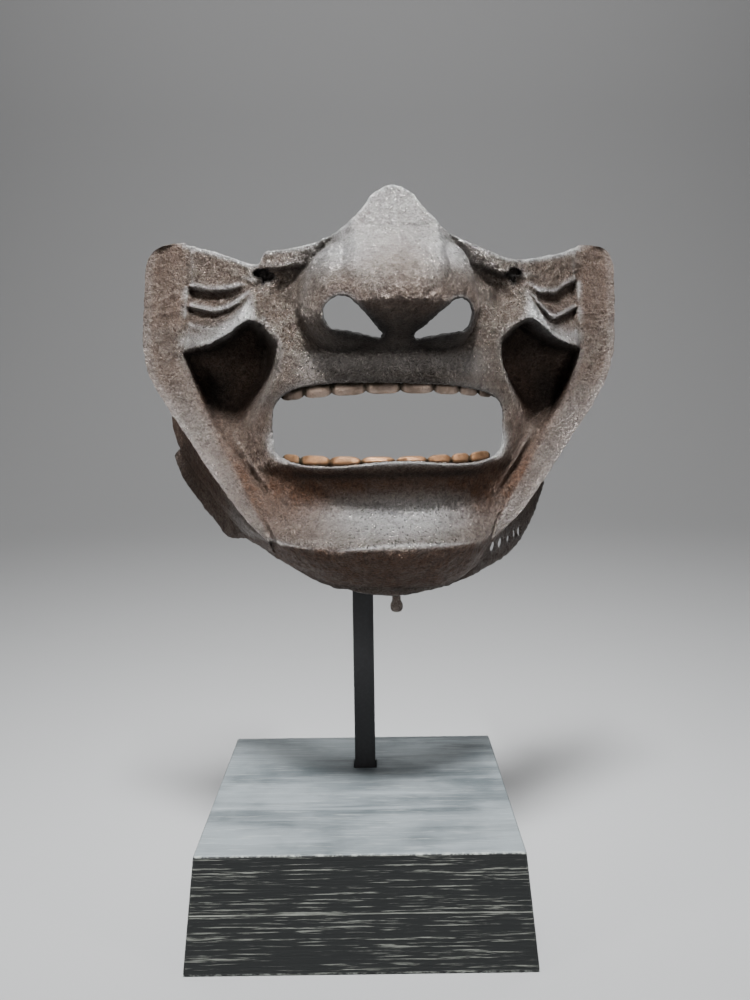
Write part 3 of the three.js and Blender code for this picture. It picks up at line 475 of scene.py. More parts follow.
def thicken(outer, inner, tris):
    """closed sheet from two faces, its free edge rounded"""
    n = len(outer)
    half = half_edges(tris)
    third = np.concatenate([tris[:, 2], tris[:, 0], tris[:, 1]])
    keys = half[:, 0] * n + half[:, 1]
    free = ~np.isin(half[:, 1] * n + half[:, 0], keys)
    rim = half[free]
    across = (outer[rim[:, 0]] + outer[rim[:, 1]]) / 2 - outer[third[free]]
    away = np.zeros_like(outer)
    for k in (0, 1):
        np.add.at(away, rim[:, k], across)
    ring = np.unique(rim)
    length = np.linalg.norm(away[ring], axis=1, keepdims=True)
    thick = np.linalg.norm(inner[ring] - outer[ring], axis=1, keepdims=True)
    middle = (outer[ring] + inner[ring]) / 2 + away[ring] / np.maximum(length, 1e-9) * thick * EDGE_SWELL
    spot = np.zeros(n, int)
    spot[ring] = 2 * n + np.arange(len(ring))
    a, b = rim[:, 0], rim[:, 1]
    ma, mb = spot[a], spot[b]
    walls = [np.stack(s, -1) for s in ((b, a, ma), (b, ma, mb), (mb, ma, a + n), (mb, a + n, b + n))]
    faces = np.concatenate([tris, tris[:, ::-1] + n] + walls)
    return np.concatenate([outer, inner, middle]), faces


def columns(front, fin, wall):
    half = [i / front for i in range(1, front + 1)]
    half += [1 + i / fin for i in range(1, fin + 1)]
    half += [2 + i / fin for i in range(1, fin + 1)]
    half += [3 + i / wall for i in range(1, wall + 1)]
    return np.array([-c for c in half[::-1]] + [0.0] + half)


def rows(face, band):
    return np.array([i / face for i in range(face + 1)] + [1 + i / band for i in range(1, band + 1)])


def hole_field(cv):
    """distance beyond the nearest opening of the face"""
    c = cv[:, 0]
    v = cv[:, 1]
    p, z = on_plate(c, v)[-2:]
    return np.where((np.abs(c) < 1.0) & (v < 1.0), cuts(p, z), NO_HOLE)


def placed(v):
    """from the guard's own frame to the stand's, in millimetres"""
    c = math.cos(MASK_TURN)
    s = math.sin(MASK_TURN)
    x = MASK_X + v[:, 0] * c - v[:, 1] * s
    y = MASK_Y + v[:, 0] * s + v[:, 1] * c
    return np.stack([x, y, v[:, 2]], -1)


def hash_lattice(i, j, k, seed):
    n = (i * 374761393 + j * 668265263 + k * 2147483647 + seed * 974634777) & 0xFFFFFFFF
    n = ((n ^ (n >> 13)) * 1274126177) & 0xFFFFFFFF
    return ((n ^ (n >> 16)) & 0xFFFF) / 32767.5 - 1.0


def grain(v, size, seed=0):
    """smooth value noise, -1 to 1, of a given grain size"""
    x = v / size
    base = np.floor(x).astype(np.int64)
    f = x - base
    f = f * f * (3 - 2 * f)
    total = np.zeros(len(v))
    for corner in range(8):
        o = np.array([corner & 1, (corner >> 1) & 1, (corner >> 2) & 1])
        w = np.prod(np.where(o, f, 1 - f), axis=1)
        c = base + o
        total = total + w * hash_lattice(c[:, 0], c[:, 1], c[:, 2], seed)
    return total


def vertex_normals(v, f):
    n = np.cross(v[f[:, 1]] - v[f[:, 0]], v[f[:, 2]] - v[f[:, 0]])
    out = np.zeros_like(v)
    for k in range(3):
        np.add.at(out, f[:, k], n)
    return out / np.maximum(np.linalg.norm(out, axis=1, keepdims=True), 1e-12)


def neighbour_mean(values, f, rounds):
    """values averaged over the mesh, a few rounds"""
    e = half_edges(f)
    e = np.concatenate([e, e[:, ::-1]])
    count = np.bincount(e[:, 0], minlength=len(values))[:, None]
    flat = values.reshape(len(values), -1)
    for _ in range(rounds):
        total = np.stack([np.bincount(e[:, 0], weights=flat[e[:, 1], k], minlength=len(values))
                          for k in range(flat.shape[1])], -1)
        flat = total / np.maximum(count, 1)
    return flat.reshape(values.shape)


def relief(v, f, rounds):
    """positive on ridges and edges, negative in creases"""
    return np.einsum('ij,ij->i', v - neighbour_mean(v, f, rounds), vertex_normals(v, f))


def add_mesh(name, v, f, material, node, turned=True, sharp=48, masks=None):
    points = placed(v) if turned else v
    mesh = bpy.data.meshes.new(name)
    mesh.from_pydata((points / 1000.0).tolist(), [], np.asarray(f).tolist())
    mesh.update()
    mesh.polygons.foreach_set("use_smooth", np.ones(len(mesh.polygons), bool))
    mesh.set_sharp_from_angle(angle=math.radians(sharp))
    for key, values in (masks or {}).items():
        layer = mesh.attributes.new(key, 'FLOAT', 'POINT')
        layer.data.foreach_set("value", np.asarray(values, np.float32))
    mesh.materials.append(material)
    obj = bpy.data.objects.new(name, mesh)
    bpy.context.collection.objects.link(obj)
    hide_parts(node)
    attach(obj, "root")
    return obj


# ---------------------------------------------------------------- materials

class Nodes:
    """small helper that wires a node material"""

    def __init__(self, name):
        self.material = bpy.data.materials.new(name)
        self.material.use_nodes = True
        self.tree = self.material.node_tree
        self.bsdf = self.tree.nodes["Principled BSDF"]
        self.where = self.tree.nodes.new("ShaderNodeTexCoord").outputs["Object"]

    def plug(self, value, socket):
        if isinstance(value, bpy.types.NodeSocket):
            self.tree.links.new(value, socket)
        else:
            socket.default_value = value

    def axis(self, name):
        node = self.tree.nodes.new("ShaderNodeSeparateXYZ")
        self.plug(self.where, node.inputs["Vector"])
        return node.outputs[name]

    def scaled(self, x, y, z):
        node = self.tree.nodes.new("ShaderNodeMapping")
        node.inputs["Scale"].default_value = (x, y, z)
        self.plug(self.where, node.inputs["Vector"])
        return node.outputs["Vector"]

    def noise(self, scale, detail=4.0, rough=0.55, vector=None, distortion=0.0):
        node = self.tree.nodes.new("ShaderNodeTexNoise")
        node.inputs["Scale"].default_value = scale
        node.inputs["Detail"].default_value = detail
        node.inputs["Roughness"].default_value = rough
        node.inputs["Distortion"].default_value = distortion
        self.plug(vector or self.where, node.inputs["Vector"])
        return node.outputs["Fac"]

    def cells(self, scale, vector=None, feature='F1'):
        node = self.tree.nodes.new("ShaderNodeTexVoronoi")
        node.feature = feature
        node.inputs["Scale"].default_value = scale
        self.plug(vector or self.where, node.inputs["Vector"])
        return node.outputs["Distance"]

    def ramp(self, value, low, high, a=0.0, b=1.0):
        node = self.tree.nodes.new("ShaderNodeMapRange")
        node.interpolation_type = 'SMOOTHSTEP'
        self.plug(value, node.inputs["Value"])
        for key, number in (("From Min", low), ("From Max", high), ("To Min", a), ("To Max", b)):
            node.inputs[key].default_value = number
        return node.outputs["Result"]

    def math(self, kind, a, b=0.0):
        node = self.tree.nodes.new("ShaderNodeMath")
        node.operation = kind
        self.plug(a, node.inputs[0])
        self.plug(b, node.inputs[1])
        return node.outputs[0]

    def mix(self, share, a, b):
        node = self.tree.nodes.new("ShaderNodeMix")
        node.data_type = 'RGBA'
        self.plug(share, node.inputs["Factor"])
        self.plug(a, node.inputs[6])
        self.plug(b, node.inputs[7])
        return node.outputs[2]

    def attribute(self, name):
        node = self.tree.nodes.new("ShaderNodeAttribute")
        node.attribute_name = name
        return node.outputs["Fac"]

    def bump(self, height, distance, strength=1.0, normal=None):
        node = self.tree.nodes.new("ShaderNodeBump")
        node.inputs["Distance"].default_value = distance
        node.inputs["Strength"].default_value = strength
        self.plug(height, node.inputs["Height"])
        if normal is not None:
            self.plug(normal, node.inputs["Normal"])
        return node.outputs["Normal"]

    def finish(self, color, metallic, roughness, normal=None):
        self.plug(color, self.bsdf.inputs["Base Color"])
        self.plug(metallic, self.bsdf.inputs["Metallic"])
        self.plug(roughness, self.bsdf.inputs["Roughness"])
        if normal is not None:
            self.plug(normal, self.bsdf.inputs["Normal"])
        return self.material


def rgb(r, g, b):
    return (r, g, b, 1.0)


def iron_material(name="russet_iron", rusty=0.0):
    n = Nodes(name)
    patches = n.noise(42.0, 5.0, 0.6)
    mottle = n.noise(210.0, 6.0, 0.62)
    fine = n.noise(820.0, 4.0, 0.60, None, 1.3)
    grit = n.noise(2600.0, 3.0, 0.6)
    wear_and_highlight = n.attribute("wear_and_highlight")
    rust = n.attribute("rust")
    grime_and_shade = n.attribute("grime_and_shade")
    raised = n.ramp(fine, 0.34, 0.66)
    dark = n.mix(n.ramp(patches, 0.38, 0.62), rgb(0.060, 0.043, 0.034), rgb(0.098, 0.073, 0.060))
    light = n.mix(n.ramp(mottle, 0.35, 0.65), rgb(0.175, 0.142, 0.120), rgb(0.275, 0.240, 0.212))
    color = n.mix(raised, dark, light)
    # bare metal colour where the mask marks wear, and a painted highlight on the up-facing places it also
    # marks
    bare_and_highlight = n.math('MULTIPLY', wear_and_highlight, n.ramp(fine, 0.28, 0.58, 0.45, 1.0))
    color = n.mix(bare_and_highlight, color, rgb(0.62, 0.625, 0.63))
    red = n.math('MULTIPLY', rust, n.ramp(mottle, 0.28, 0.60, 0.55, 1.0))
    warm = n.mix(raised, rgb(0.040, 0.018, 0.010), rgb(0.125, 0.062, 0.034))
    color = n.mix(red, color, warm)
    # near-black colour of painted shade, and of grime, put where the mask marks them
    color = n.mix(grime_and_shade, color, rgb(0.010, 0.008, 0.007))
    metal = n.math('SUBTRACT', 0.95 - 0.3 * rusty, n.math('MULTIPLY', n.math('MAXIMUM', red, grime_and_shade), 0.40))
    dull = n.math('MULTIPLY', n.math('ADD', red, grime_and_shade), 0.10)
    rough = n.math('ADD', n.ramp(fine, 0.35, 0.65, 0.38, 0.25), dull)
    normal = n.bump(grit, 0.0003, 0.7)
    normal = n.bump(fine, 0.0026, 1.0, normal)
    normal = n.bump(mottle, 0.0045, 0.7, normal)
    return n.finish(color, metal, rough, normal)


def copper_material(name, clean):
    n = Nodes(name)
    mottle = n.noise(300.0, 5.0, 0.6)
    fine = n.noise(1400.0, 3.0, 0.6)
    grime_and_shade = n.attribute("grime_and_shade")
    color = n.mix(n.ramp(mottle, 0.35, 0.65), rgb(*[0.55 * x for x in clean]), rgb(*clean))
    color = n.mix(n.ramp(mottle, 0.45, 0.62, 0.0, 0.6), color, rgb(0.12, 0.085, 0.055))
    # painted shade between the teeth and behind the lip, with some grime, darkened to near black
    dirt_and_shade = n.math('MULTIPLY', grime_and_shade, n.ramp(mottle, 0.3, 0.6, 0.8, 1.0))
    color = n.mix(dirt_and_shade, color, rgb(0.022, 0.020, 0.012))
    rough = n.math('ADD', n.ramp(mottle, 0.3, 0.7, 0.36, 0.48), n.math('MULTIPLY', grime_and_shade, 0.3))
    normal = n.bump(fine, 0.00025, 0.6)
    return n.finish(color, 0.85, rough, n.bump(mottle, 0.0007, 0.5, normal))


def black_steel_material():
    n = Nodes("black_steel")
    fine = n.noise(700.0, 4.0, 0.6)
    color = n.mix(n.ramp(fine, 0.4, 0.7), rgb(0.006, 0.006, 0.007), rgb(0.014, 0.014, 0.016))
    return n.finish(color, 0.0, n.ramp(fine, 0.3, 0.7, 0.5, 0.62), n.bump(fine, 0.00008, 0.3))


def oak_material():
    n = Nodes("ebonised_oak")
    streaks = n.noise(1.0, 5.0, 0.60, n.scaled(34.0, 900.0, 1500.0), 0.3)
    short = n.noise(1.0, 4.0, 0.6, n.scaled(120.0, 1400.0, 2600.0))
    broad = n.noise(1.0, 4.0, 0.55, n.scaled(14.0, 95.0, 160.0), 0.6)
    haze = n.noise(34.0, 4.0, 0.6)
    pores = n.math('MULTIPLY', n.ramp(streaks, 0.535, 0.60), n.ramp(short, 0.46, 0.58))
    height = n.axis("Z")
    seam_height = 0.0192
    arris_height = 0.0385
    top = n.ramp(height, 0.0384, 0.0387)
    middle = n.math('ADD', seam_height, n.math('MULTIPLY', broad, 0.001))
    seam = n.math('ABSOLUTE', n.math('SUBTRACT', height, middle))
    seam = n.math('MULTIPLY', n.ramp(seam, 0.00032, 0.00010), n.ramp(short, 0.38, 0.56, 0.3, 1.0))
    chalk = n.math('MAXIMUM', n.math('MULTIPLY', pores, 0.50), n.math('MULTIPLY', seam, 0.75))
    flank = n.mix(chalk, rgb(0.0045, 0.0055, 0.0055), rgb(0.24, 0.25, 0.22))
    # painted sheen: the top is a paler blue-grey than the black flanks, standing in for the light it
    # reflects; its pale pores are grain
    top_sheen_and_grain = n.mix(n.ramp(broad, 0.36, 0.66), rgb(0.060, 0.072, 0.078), rgb(0.155, 0.175, 0.185))
    top_sheen_and_grain = n.mix(n.ramp(haze, 0.35, 0.65, 0.0, 0.45), top_sheen_and_grain, rgb(0.22, 0.245, 0.255))
    top_sheen_and_grain = n.mix(n.math('MULTIPLY', pores, 0.25), top_sheen_and_grain, rgb(0.40, 0.42, 0.41))
    color = n.mix(top, flank, top_sheen_and_grain)
    ragged = n.noise(420.0, 6.0, 0.75)
    upper = n.math('ABSOLUTE', n.math('SUBTRACT', height, arris_height))
    arris = n.math('ADD', n.ramp(upper, 0.0004, 0.0001), n.ramp(height, 0.0012, 0.0002))
    worn = n.math('MULTIPLY', arris, n.ramp(n.math('ABSOLUTE', n.axis("Y")), 0.0520, 0.0532))
    worn = n.math('MULTIPLY', worn, n.ramp(ragged, 0.45, 0.62, 0.0, 0.7))
    color = n.mix(worn, color, rgb(0.34, 0.36, 0.33))
    rough = n.mix(top, rgb(0.62, 0.62, 0.62), rgb(0.42, 0.42, 0.42))
    n.bsdf.inputs["Specular IOR Level"].default_value = 0.32
    normal = n.bump(streaks, 0.0005, 0.5)
    return n.finish(color, 0.0, rough, n.bump(short, 0.0002, 0.4, normal))


def floor_material():
    n = Nodes("backdrop")
    # painted shade: the backdrop darkens towards the top, standing in for light falling off
    color = n.mix(n.ramp(n.axis("Z"), 0.0, 1.5), rgb(0.30, 0.30, 0.302), rgb(0.25, 0.25, 0.252))
    return n.finish(color, 0.0, 0.9)


# ---------------------------------------------------------------- pieces

def beaten(v, f, depth=1.0, seed=0):
    """the hammered and pitted surface, as small moves along the normal"""
    normal = vertex_normals(v, f)
    amount = 0.10 * grain(v, 7.0, seed) + 0.08 * grain(v, 3.1, seed + 1)
    amount = amount + 0.14 * grain(v, 1.9, seed + 2) + 0.19 * grain(v, 1.05, seed + 3)
    return v + normal * (amount * depth)[:, None]


def face_masks(v, f):
    """bare-metal wear and painted highlights, rust, and painted shade over the face plate, each 0 to 1"""
    p = v[:, 0]
    z = v[:, 2]
    a = np.abs(p)
    e = evened(p, z)
    normal = vertex_normals(v, f)
    near = relief(v, f, 4)
    front = 1 - step(-22.0, -12.0, v[:, 1])
    spots = 0.5 + 0.5 * grain(v, 6.0, 11)
    gap = mouth(p, z)
    holes = nostrils(p, z)
    root = curve(ROOT, z, 1) - e
    hollow = (step(0.0, 6.0, e - curve(HOLLOW, z)) * (1 - step(-2.0, 1.0, z - curve(SHELF, e, 1)))
              * step(168.0, 180.0, z) * step(-1.0, 1.5, root))
    flange = 1 - step(-1.0, 0.5, root)
    # painted highlight: scoop, bridge, wing and lip brighten the up-facing chin scoop, nose bridge, tops of
    # the nose wings and the lip edges, where the top light falls
    scoop = bell(p - 2.0, 27.0) * bell(z - 145.0, 6.5) * step(137.0, 139.0, z)
    bridge = step(221.0, 240.0, z) * (1 - step(15.0, 22.0, a))
    wing = bell((a - 20.0) / 9.0, 1.0) * bell(z - 230.0, 5.5)
    lip = bell(gap, 0.65) * step(156.0, 160.0, z) * (1 - step(168.0, 176.0, z))
    brink = 0.6 * bell(holes, 0.35) + 0.5 * bell(curve(TOP, p) - z, 0.5) * (1 - step(66.0, 70.0, a))
    wear_and_highlight = 0.72 * scoop + 0.42 * bridge + 0.50 * wing + 0.95 * lip + brink
    wear_and_highlight = wear_and_highlight + 0.25 * bell(z - 195.0, 5.0) * (1 - step(24.0, 36.0, a))
    wear_and_highlight = wear_and_highlight + 0.16 * flange * (1 - step(176.0, 196.0, z))
    wear_and_highlight = wear_and_highlight + 0.5 * bell(z - curve(RIDGE, p) - 0.5, 0.5) * (1 - flange)
    folds = step(43.0, 49.0, e) * step(200.0, 205.0, z) * (1 - flange)
    shelf = bell(z - curve(SHELF, e, 1) - 3.2, 2.6) * folds
    wear_and_highlight = wear_and_highlight + (0.14 + 0.5 * folds) * np.clip(near * 4.0, 0, 1) + 0.40 * shelf
    below = 1 - step(134.4, 136.2, z)
    under = bell(z - 156.5, 5.5) * (1 - step(34.0, 46.0, e))
    cheek = bell(e - 47.0, 8.0) * bell(z - 172.0, 16.0)
    flank = step(14.0, 32.0, a) * bell(z - 149.0, 12.0) * (1 - flange)
    seam = bell(root - 1.5, 3.0) * step(146.0, 156.0, z) * (1 - step(182.0, 196.0, z))
    rust = 1.0 * below + 0.95 * under + 0.5 * cheek + 0.75 * flank + 0.42 * seam + 0.45 * hollow
    rust = rust + 0.22 * flange + 0.25 * step(46.0, 60.0, a) * step(205.0, 215.0, z) + 0.25 * (spots - 0.5)
    rust = rust + 0.55 * (1 - front) + 0.45 * bell(z - 214.0, 6.5) * (1 - step(24.0, 31.0, a))
    # painted shade: the terms below darken down-facing places, under the nose, the cheek hollows, the gap
    # under the upper lip, the nostrils, under the lower lip, creases, the back, the band below the chin
    # ridge and the lower cheeks, where shade falls
    downward = np.clip(-normal[:, 2] - 0.25, 0, 1)
    nose_foot = (1 - step(18.0, 25.0, a)) * bell(z - 205.0, 7.0)
    slot = bell(e - 59.0, 6.0) * bell(z - 185.0, 9.0)
    grime_and_shade = 0.20 * hollow + 0.55 * slot * hollow
    grime_and_shade = grime_and_shade + 0.55 * downward * step(196.0, 200.0, z) + 0.45 * nose_foot
    grime_and_shade = grime_and_shade + 0.60 * bell(gap, 1.6) * step(178.0, 184.0, z) + 0.30 * bell(holes, 1.8)
    grime_and_shade = grime_and_shade + 0.55 * bell(z - 158.5, 1.6) * (1 - step(30.0, 38.0, e)) + np.clip(-near * 1.5, 0, 0.22)
    grime_and_shade = grime_and_shade + 0.15 * (1 - front) + 0.22 * below + 0.25 * bell(e - 45.0, 6.0) * bell(z - 166.0, 13.0)
    # painted shade: the torn pits are darkened to the darkest colour, and their wear is taken out
    pit_shade = 1 - step(-0.05, 0.35, torn_pits(p, z))
    wear_and_highlight = wear_and_highlight * (1 - pit_shade) * front
    return {"wear_and_highlight": np.clip(wear_and_highlight, 0, 1), "rust": np.clip(rust, 0, 1),
            "grime_and_shade": np.clip(grime_and_shade + pit_shade, 0, DARKEST)}


def pit_floor(middle_p, middle_z, corners):
    """plate that closes one torn pit below the surface"""
    reach = np.array([(0.0, 0.0)] + [(1.18 * x, 1.18 * y) for x, y in corners])
    p = middle_p + reach[:, 0]
    z = middle_z + reach[:, 1]
    n = len(corners)
    fan = np.array([(0, 1 + k, 1 + (k + 1) % n) for k in range(n)])
    outer = np.stack([p, face_q(p, z) + TORN_DEPTH, z], -1)
    inner = np.stack([p, face_inner(p, z) - 0.03, z], -1)
    return thicken(outer, inner, fan)


def build_face(material):
    pts, tris = grid(columns(*FACE_COLUMNS), rows(*FACE_ROWS))
    pts, tris = clip(pts, tris, hole_field)
    outer, inner = shell(pts[:, 0], pts[:, 1])
    v, f = thicken(outer, inner, tris[:, ::-1])
    masks = face_masks(v, f)
    v = beaten(v, f)
    # painted shade: the floors of the torn pits get the darkest colour
    for pit in TORN:
        more, faces = pit_floor(*pit)
        f = np.concatenate([f, faces + len(v)])
        v = np.concatenate([v, more])
        masks = {key: np.concatenate([values, np.full(len(more), DARKEST * (key == "grime_and_shade"))])
                 for key, values in masks.items()}
    return add_mesh("FacePlate", v, f, material, "face_plate", masks=masks)


def inside_shell(c, v):
    """inner point of the shell, and the level way inward there"""
    outer, inner = shell(c, v)
    d = inner - outer
    plan = np.maximum(np.hypot(d[:, 0], d[:, 1]), 1e-6)
    return inner, np.stack([d[:, 0] / plan, d[:, 1] / plan, np.zeros_like(plan)], -1)


def rim_point(c, t, back):
    """front or back of the throat rim: t runs to 1 behind the band, then down to the edge"""
    k = np.abs(c)
    clear = 2.7 * step(0.5, 1.0, k) * (1 - step(3.0, 3.3, k))
    depth = FIT + clear + (RIM_SHEET if back else 0.0)
    inner, way = inside_shell(c, 1.45 + 0.55 * np.clip(t, 0, 1))
    top = inner + way * depth[:, None]
    low = np.stack([curve(RIM_EDGE, c, n) for n in (1, 2, 3)], -1)
    rough = 1 - step(-3.42, -3.3, c)
    jag = 0.8 * grain(low, 3.2, 5) + 0.5 * grain(low, 1.3, 6)
    low = low + np.stack([-0.3 * jag, np.zeros_like(jag), jag], -1) * rough[:, None]
    if back:
        low = low + inside_shell(c, np.full_like(c, 2.0))[1] * RIM_SHEET
    share = np.clip(t - 1.0, 0, 1)[:, None]
    return top + (low - top) * share


def lace_field(ct):
    """distance beyond the nearest lacing hole"""
    place = rim_point(ct[:, 0], ct[:, 1], False)
    middles = rim_point(LACES[:, 0], LACES[:, 1], False)
    gap = np.min([np.linalg.norm(place - m, axis=1) for m in middles], axis=0) - LACE_RADIUS
    return np.where((ct[:, 0] > 1) & (ct[:, 1] > 1), gap, NO_HOLE)


def build_rim(material):
    half = [i / 40 for i in range(1, 41)] + [1.25, 1.5, 1.75, 2.0, 2.25, 2.5, 2.75]
    half = half + [3 + i / 90 for i in range(91)]
    cs = np.array([-c for c in half[::-1]] + [0.0] + half)
    ts = np.array([0.0, 0.5] + [1 + i / 14 for i in range(15)])
    pts, tris = clip(*grid(cs, ts), lace_field)
    front, rear = [rim_point(pts[:, 0], pts[:, 1], back) for back in (False, True)]
    v, f = thicken(front, rear, tris[:, ::-1])
    near = relief(v, f, 3)
    spots = 0.5 + 0.5 * grain(v, 3.0, 21)
    left = 1 - step(-60.0, -30.0, v[:, 0])
    masks = {"wear_and_highlight": 0.5 * np.clip(near * 3.0, 0, 1), "rust": np.clip(0.45 + 0.4 * spots * left, 0, 1),
             "grime_and_shade": np.clip(0.30 + 0.25 * spots - 0.15 * left, 0, 1)}
    v = beaten(v, f, 1.3, 40)
    return add_mesh("ThroatRim", v, f, material, "throat_rim", masks=masks)


def tooth_share(p, gaps):
    """0 at the middle of a tooth, 1 at its sides"""
    n = np.clip(np.searchsorted(gaps, p) - 1, 0, len(gaps) - 2)
    return np.abs(2 * (p - gaps[n]) / (gaps[n + 1] - gaps[n]) - 1)


def upper_bite(p):
    return 185.6 - 0.0016 * p * p


def lower_bite(p):
    return 164.7 + 0.0003 * p * p


def build_teeth(name, node, gaps, bite, hidden, material):
    ps = [np.linspace(gaps[k], gaps[k + 1], 17)[(1 if k else 0):] for k in range(len(gaps) - 1)]
    ps = np.concatenate(ps)
    ts = np.linspace(0, 1, 19)
    pts, tris = grid(ps, ts)
    p = pts[:, 0]
    t = pts[:, 1]
    side = tooth_share(p, gaps)
    way = np.sign(hidden - bite(0.0))
    low = bite(p) + way * TOOTH_SWELL * side ** 4
    z = low + (hidden - low) * t
    pillow = TOOTH_SWELL * (1 - side ** 4) * np.sin(np.pi * np.clip(0.15 + t * 1.2, 0, 1))
    depth = face_inner(p, z) + TEETH_BEHIND
    outer = np.stack([p, depth - pillow, z], -1)
    inner = np.stack([p, depth + TEETH_SHEET, z], -1)
    if way > 0:
        tris = tris[:, ::-1]
    v, f = thicken(outer, inner, tris)
    s = tooth_share(v[:, 0], gaps)
    root = np.clip((v[:, 2] - bite(v[:, 0])) * way, 0, None)
    # painted shade between the teeth, towards the edge hidden behind the lip and at the mouth corners; the
    # grain term is dirt
    grime_and_shade = step(0.74, 0.96, s) + step(1.6, 3.6, root) + 0.5 * step(24.0, 34.0, np.abs(v[:, 0]))
    grime_and_shade = np.clip(grime_and_shade + 0.25 * grain(v, 2.5, 31), 0, 1)
    return add_mesh(name, v, f, material, node, masks={"grime_and_shade": grime_and_shade})


def lathe(profile, segments):
    rings = len(profile)
    ang = np.arange(segments) * 2 * np.pi / segments
    v = [(r * np.cos(a), r * np.sin(a), z) for r, z in profile[1:-1] for a in ang]
    v = np.array([(0.0, 0.0, profile[0][1])] + v + [(0.0, 0.0, profile[-1][1])])
    f = []
    for s in range(segments):
        n = (s + 1) % segments
        f.append((0, 1 + n, 1 + s))
        for r in range(rings - 3):
            a = 1 + r * segments
            f += [(a + s, a + n, a + segments + n), (a + s, a + segments + n, a + segments + s)]
        top = 1 + (rings - 3) * segments
        f.append((top + s, top + n, len(v) - 1))
    return v, np.array(f)


def build_peg(material):
    # radius and height up the peg
    profile = [(0, 110.8), (0.9, 110.85), (1.6, 111.2), (2.05, 111.9), (2.2, 112.9), (2.1, 113.7),
               (1.75, 114.4), (1.5, 114.9), (1.42, 116.5), (1.5, 118.0), (1.5, 123.0), (0, 123.0)]
    v, f = lathe(profile, 28)
    v = v + np.array(PEG_PLACE)
    spots = 0.5 + 0.5 * grain(v, 1.2, 51)
    masks = {"wear_and_highlight": 0.2 * spots, "rust": 0.6 * spots, "grime_and_shade": 0.25 * spots}
    return add_mesh("ChinPeg", beaten(v, f, 0.6, 50), f, material, "chin_peg", masks=masks)


def bevelled(obj, width, segments=3):
    mod = obj.modifiers.new("edge", 'BEVEL')
    mod.width = width / 1000.0
    mod.segments = segments
    mod.limit_method = 'ANGLE'
    mod.angle_limit = math.radians(30)
    return obj


def box_mesh(lo, hi):
    v = np.array([(x, y, z) for z in (lo[2], hi[2]) for y in (lo[1], hi[1]) for x in (lo[0], hi[0])], float)
    f = [(0, 2, 3, 1), (4, 5, 7, 6), (0, 1, 5, 4), (2, 6, 7, 3), (0, 4, 6, 2), (1, 3, 7, 5)]
    return v, f


def build_rod(material):
    h = ROD_SIDE / 2
    v, f = box_mesh((ROD_X - h, ROD_Y - h, BASE_HEIGHT - SOCKET_DEPTH), (ROD_X + h, ROD_Y + h, ROD_TOP))
    return bevelled(add_mesh("StandRod", v, f, material, "stand_rod", turned=False), 0.45)


def build_arm(material):
    z = ROD_TOP - 6.0
    y = ROD_Y - ROD_SIDE / 2 - FIT
    v1, f1 = box_mesh((ROD_X - 3, ARM_FRONT + 0.2, z - 3), (ROD_X + 3, y, z + 3))
    v2, f2 = box_mesh((ROD_X - 9, ARM_FRONT - 1.6, z - 5), (ROD_X + 11, ARM_FRONT + 0.4, z + 5))
    v = np.concatenate([v1, v2])
    f = f1 + [tuple(i + 8 for i in q) for q in f2]
    return bevelled(add_mesh("ChinArm", v, f, material, "chin_arm", turned=False), 0.3)


def build_base(material):
    """tapered block with the socket that holds the rod"""
    v = []
    for foot, z in ((BASE_FOOT / 2, 0.0), (BASE_TOP / 2, BASE_HEIGHT)):
        v += [(-foot, -foot, z), (foot, -foot, z), (foot, foot, z), (-foot, foot, z)]
    h = ROD_SIDE / 2 + SOCKET_PLAY
    for z in (BASE_HEIGHT, BASE_HEIGHT - SOCKET_DEPTH):
        v += [(ROD_X + x * h, ROD_Y + y * h, z) for x, y in ((-1, -1), (1, -1), (1, 1), (-1, 1))]
    f = [(3, 2, 1, 0), (12, 13, 14, 15)]
    for i in range(4):
        j = (i + 1) % 4
        f += [(n + i, n + j, n + 4 + j, n + 4 + i) for n in (0, 4, 8)]
    v = np.array(v, float)
    obj = add_mesh("StandBase", v, f, material, "stand_base", turned=False, sharp=30)
    return bevelled(obj, 0.7)


def backdrop(material):
    """floor that sweeps up behind the object"""
    profile = [(-1.4, 0.0), (0.9, 0.0)]
    sweep = 0.7
    profile += [(0.9 + sweep * math.sin(a), sweep - sweep * math.cos(a))
                for a in np.linspace(0.1, math.pi / 2, 14)]
    profile += [(1.6, 2.6)]
    v = [(x, y, z) for y, z in profile for x in (-3.0, 3.0)]
    f = [(2 * i, 2 * i + 1, 2 * i + 3, 2 * i + 2) for i in range(len(profile) - 1)]
    mesh = bpy.data.meshes.new("Backdrop")
    mesh.from_pydata(v, [], f)
    mesh.polygons.foreach_set("use_smooth", np.ones(len(f), bool))
    mesh.materials.append(material)
    obj = bpy.data.objects.new("Backdrop", mesh)
    bpy.context.collection.objects.link(obj)


def aim(obj, target):
    obj.rotation_euler = (Vector(target) - obj.location).to_track_quat('-Z', 'Y').to_euler()


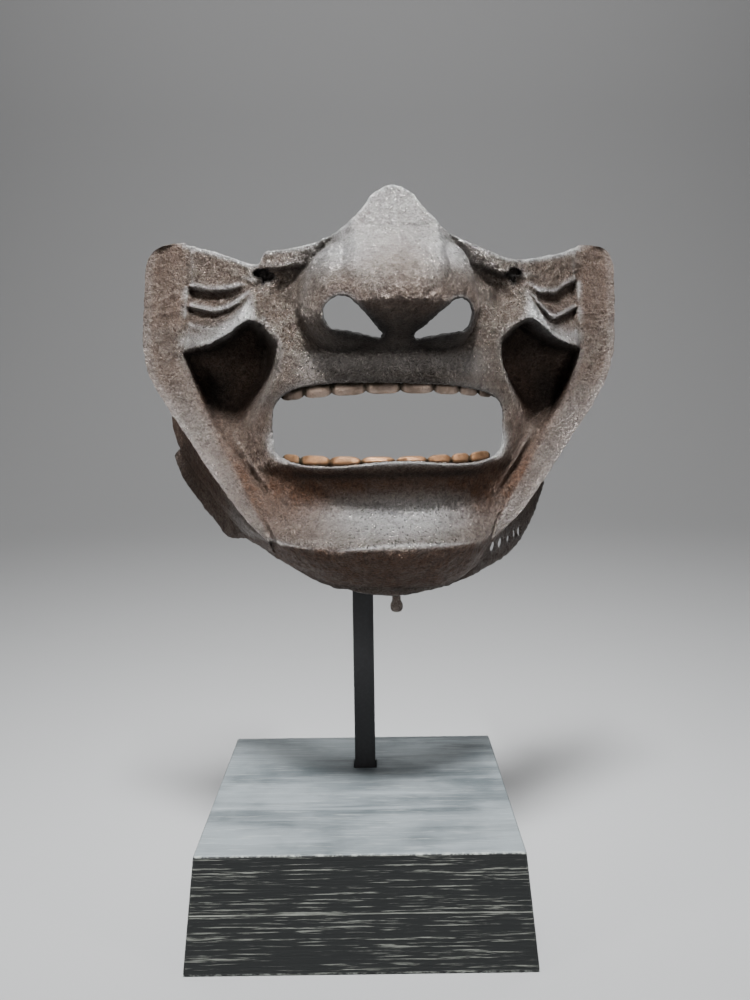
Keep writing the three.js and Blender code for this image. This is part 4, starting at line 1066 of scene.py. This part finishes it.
def soft_light(name, place, target, size, power, color=(1.0, 1.0, 1.0), spread=180.0):
    data = bpy.data.lights.new(name, 'AREA')
    data.shape = 'RECTANGLE'
    data.size = size[0]
    data.size_y = size[1]
    data.energy = power
    data.color = color
    data.spread = math.radians(spread)
    obj = bpy.data.objects.new(name, data)
    obj.location = place
    bpy.context.collection.objects.link(obj)
    aim(obj, target)


def studio():
    backdrop(floor_material())
    centre = (0.0, -0.02, 0.19)
    soft_light("Key", (0.0, -0.42, 0.92), centre, (0.24, 0.12), 3.6, (0.97, 0.99, 1.0), 60.0)
    soft_light("Overhead", (0.0, 0.15, 1.10), centre, (0.7, 0.4), 3.6, (0.95, 0.98, 1.0))
    soft_light("Left", (-0.85, -0.62, 0.42), centre, (0.22, 0.5), 0.62, (1.0, 0.96, 0.92), 60.0)
    soft_light("Right", (0.85, -0.62, 0.40), centre, (0.22, 0.5), 0.50, (1.0, 0.97, 0.95), 60.0)
    soft_light("Behind", (0.0, 0.75, 1.3), (0.0, 1.2, 0.3), (1.8, 0.6), 17.0)
    world = bpy.data.worlds.new("Studio")
    world.use_nodes = True
    world.node_tree.nodes["Background"].inputs["Color"].default_value = rgb(0.20, 0.20, 0.205)
    world.node_tree.nodes["Background"].inputs["Strength"].default_value = 0.28
    bpy.context.scene.world = world


def camera():
    place = (0.00642, -0.3572, 0.1882)
    tilt = 0.1151
    roll = math.radians(-0.77)
    data = bpy.data.cameras.new("Camera")
    data.sensor_width = 36.0
    data.lens = 35.8
    obj = bpy.data.objects.new("Camera", data)
    obj.location = place
    turn = Matrix.Rotation(math.pi / 2 - tilt, 3, 'X') @ Matrix.Rotation(roll, 3, 'Z')
    obj.rotation_euler = turn.to_euler()
    bpy.context.collection.objects.link(obj)
    bpy.context.scene.camera = obj


iron = iron_material()
rusted = iron_material("rusted_iron", 1.0)
pale_copper = copper_material("pale_copper", (0.60, 0.46, 0.38))
copper = copper_material("copper", (0.50, 0.27, 0.14))
steel = black_steel_material()
build_face(iron)
build_teeth("UpperTeeth", "upper_teeth", UPPER_GAPS, upper_bite, UPPER_HIDDEN, pale_copper)
build_teeth("LowerTeeth", "lower_teeth", LOWER_GAPS, lower_bite, LOWER_HIDDEN, copper)
build_rim(rusted)
build_peg(iron)
build_rod(steel)
build_arm(steel)
build_base(oak_material())
studio()
camera()
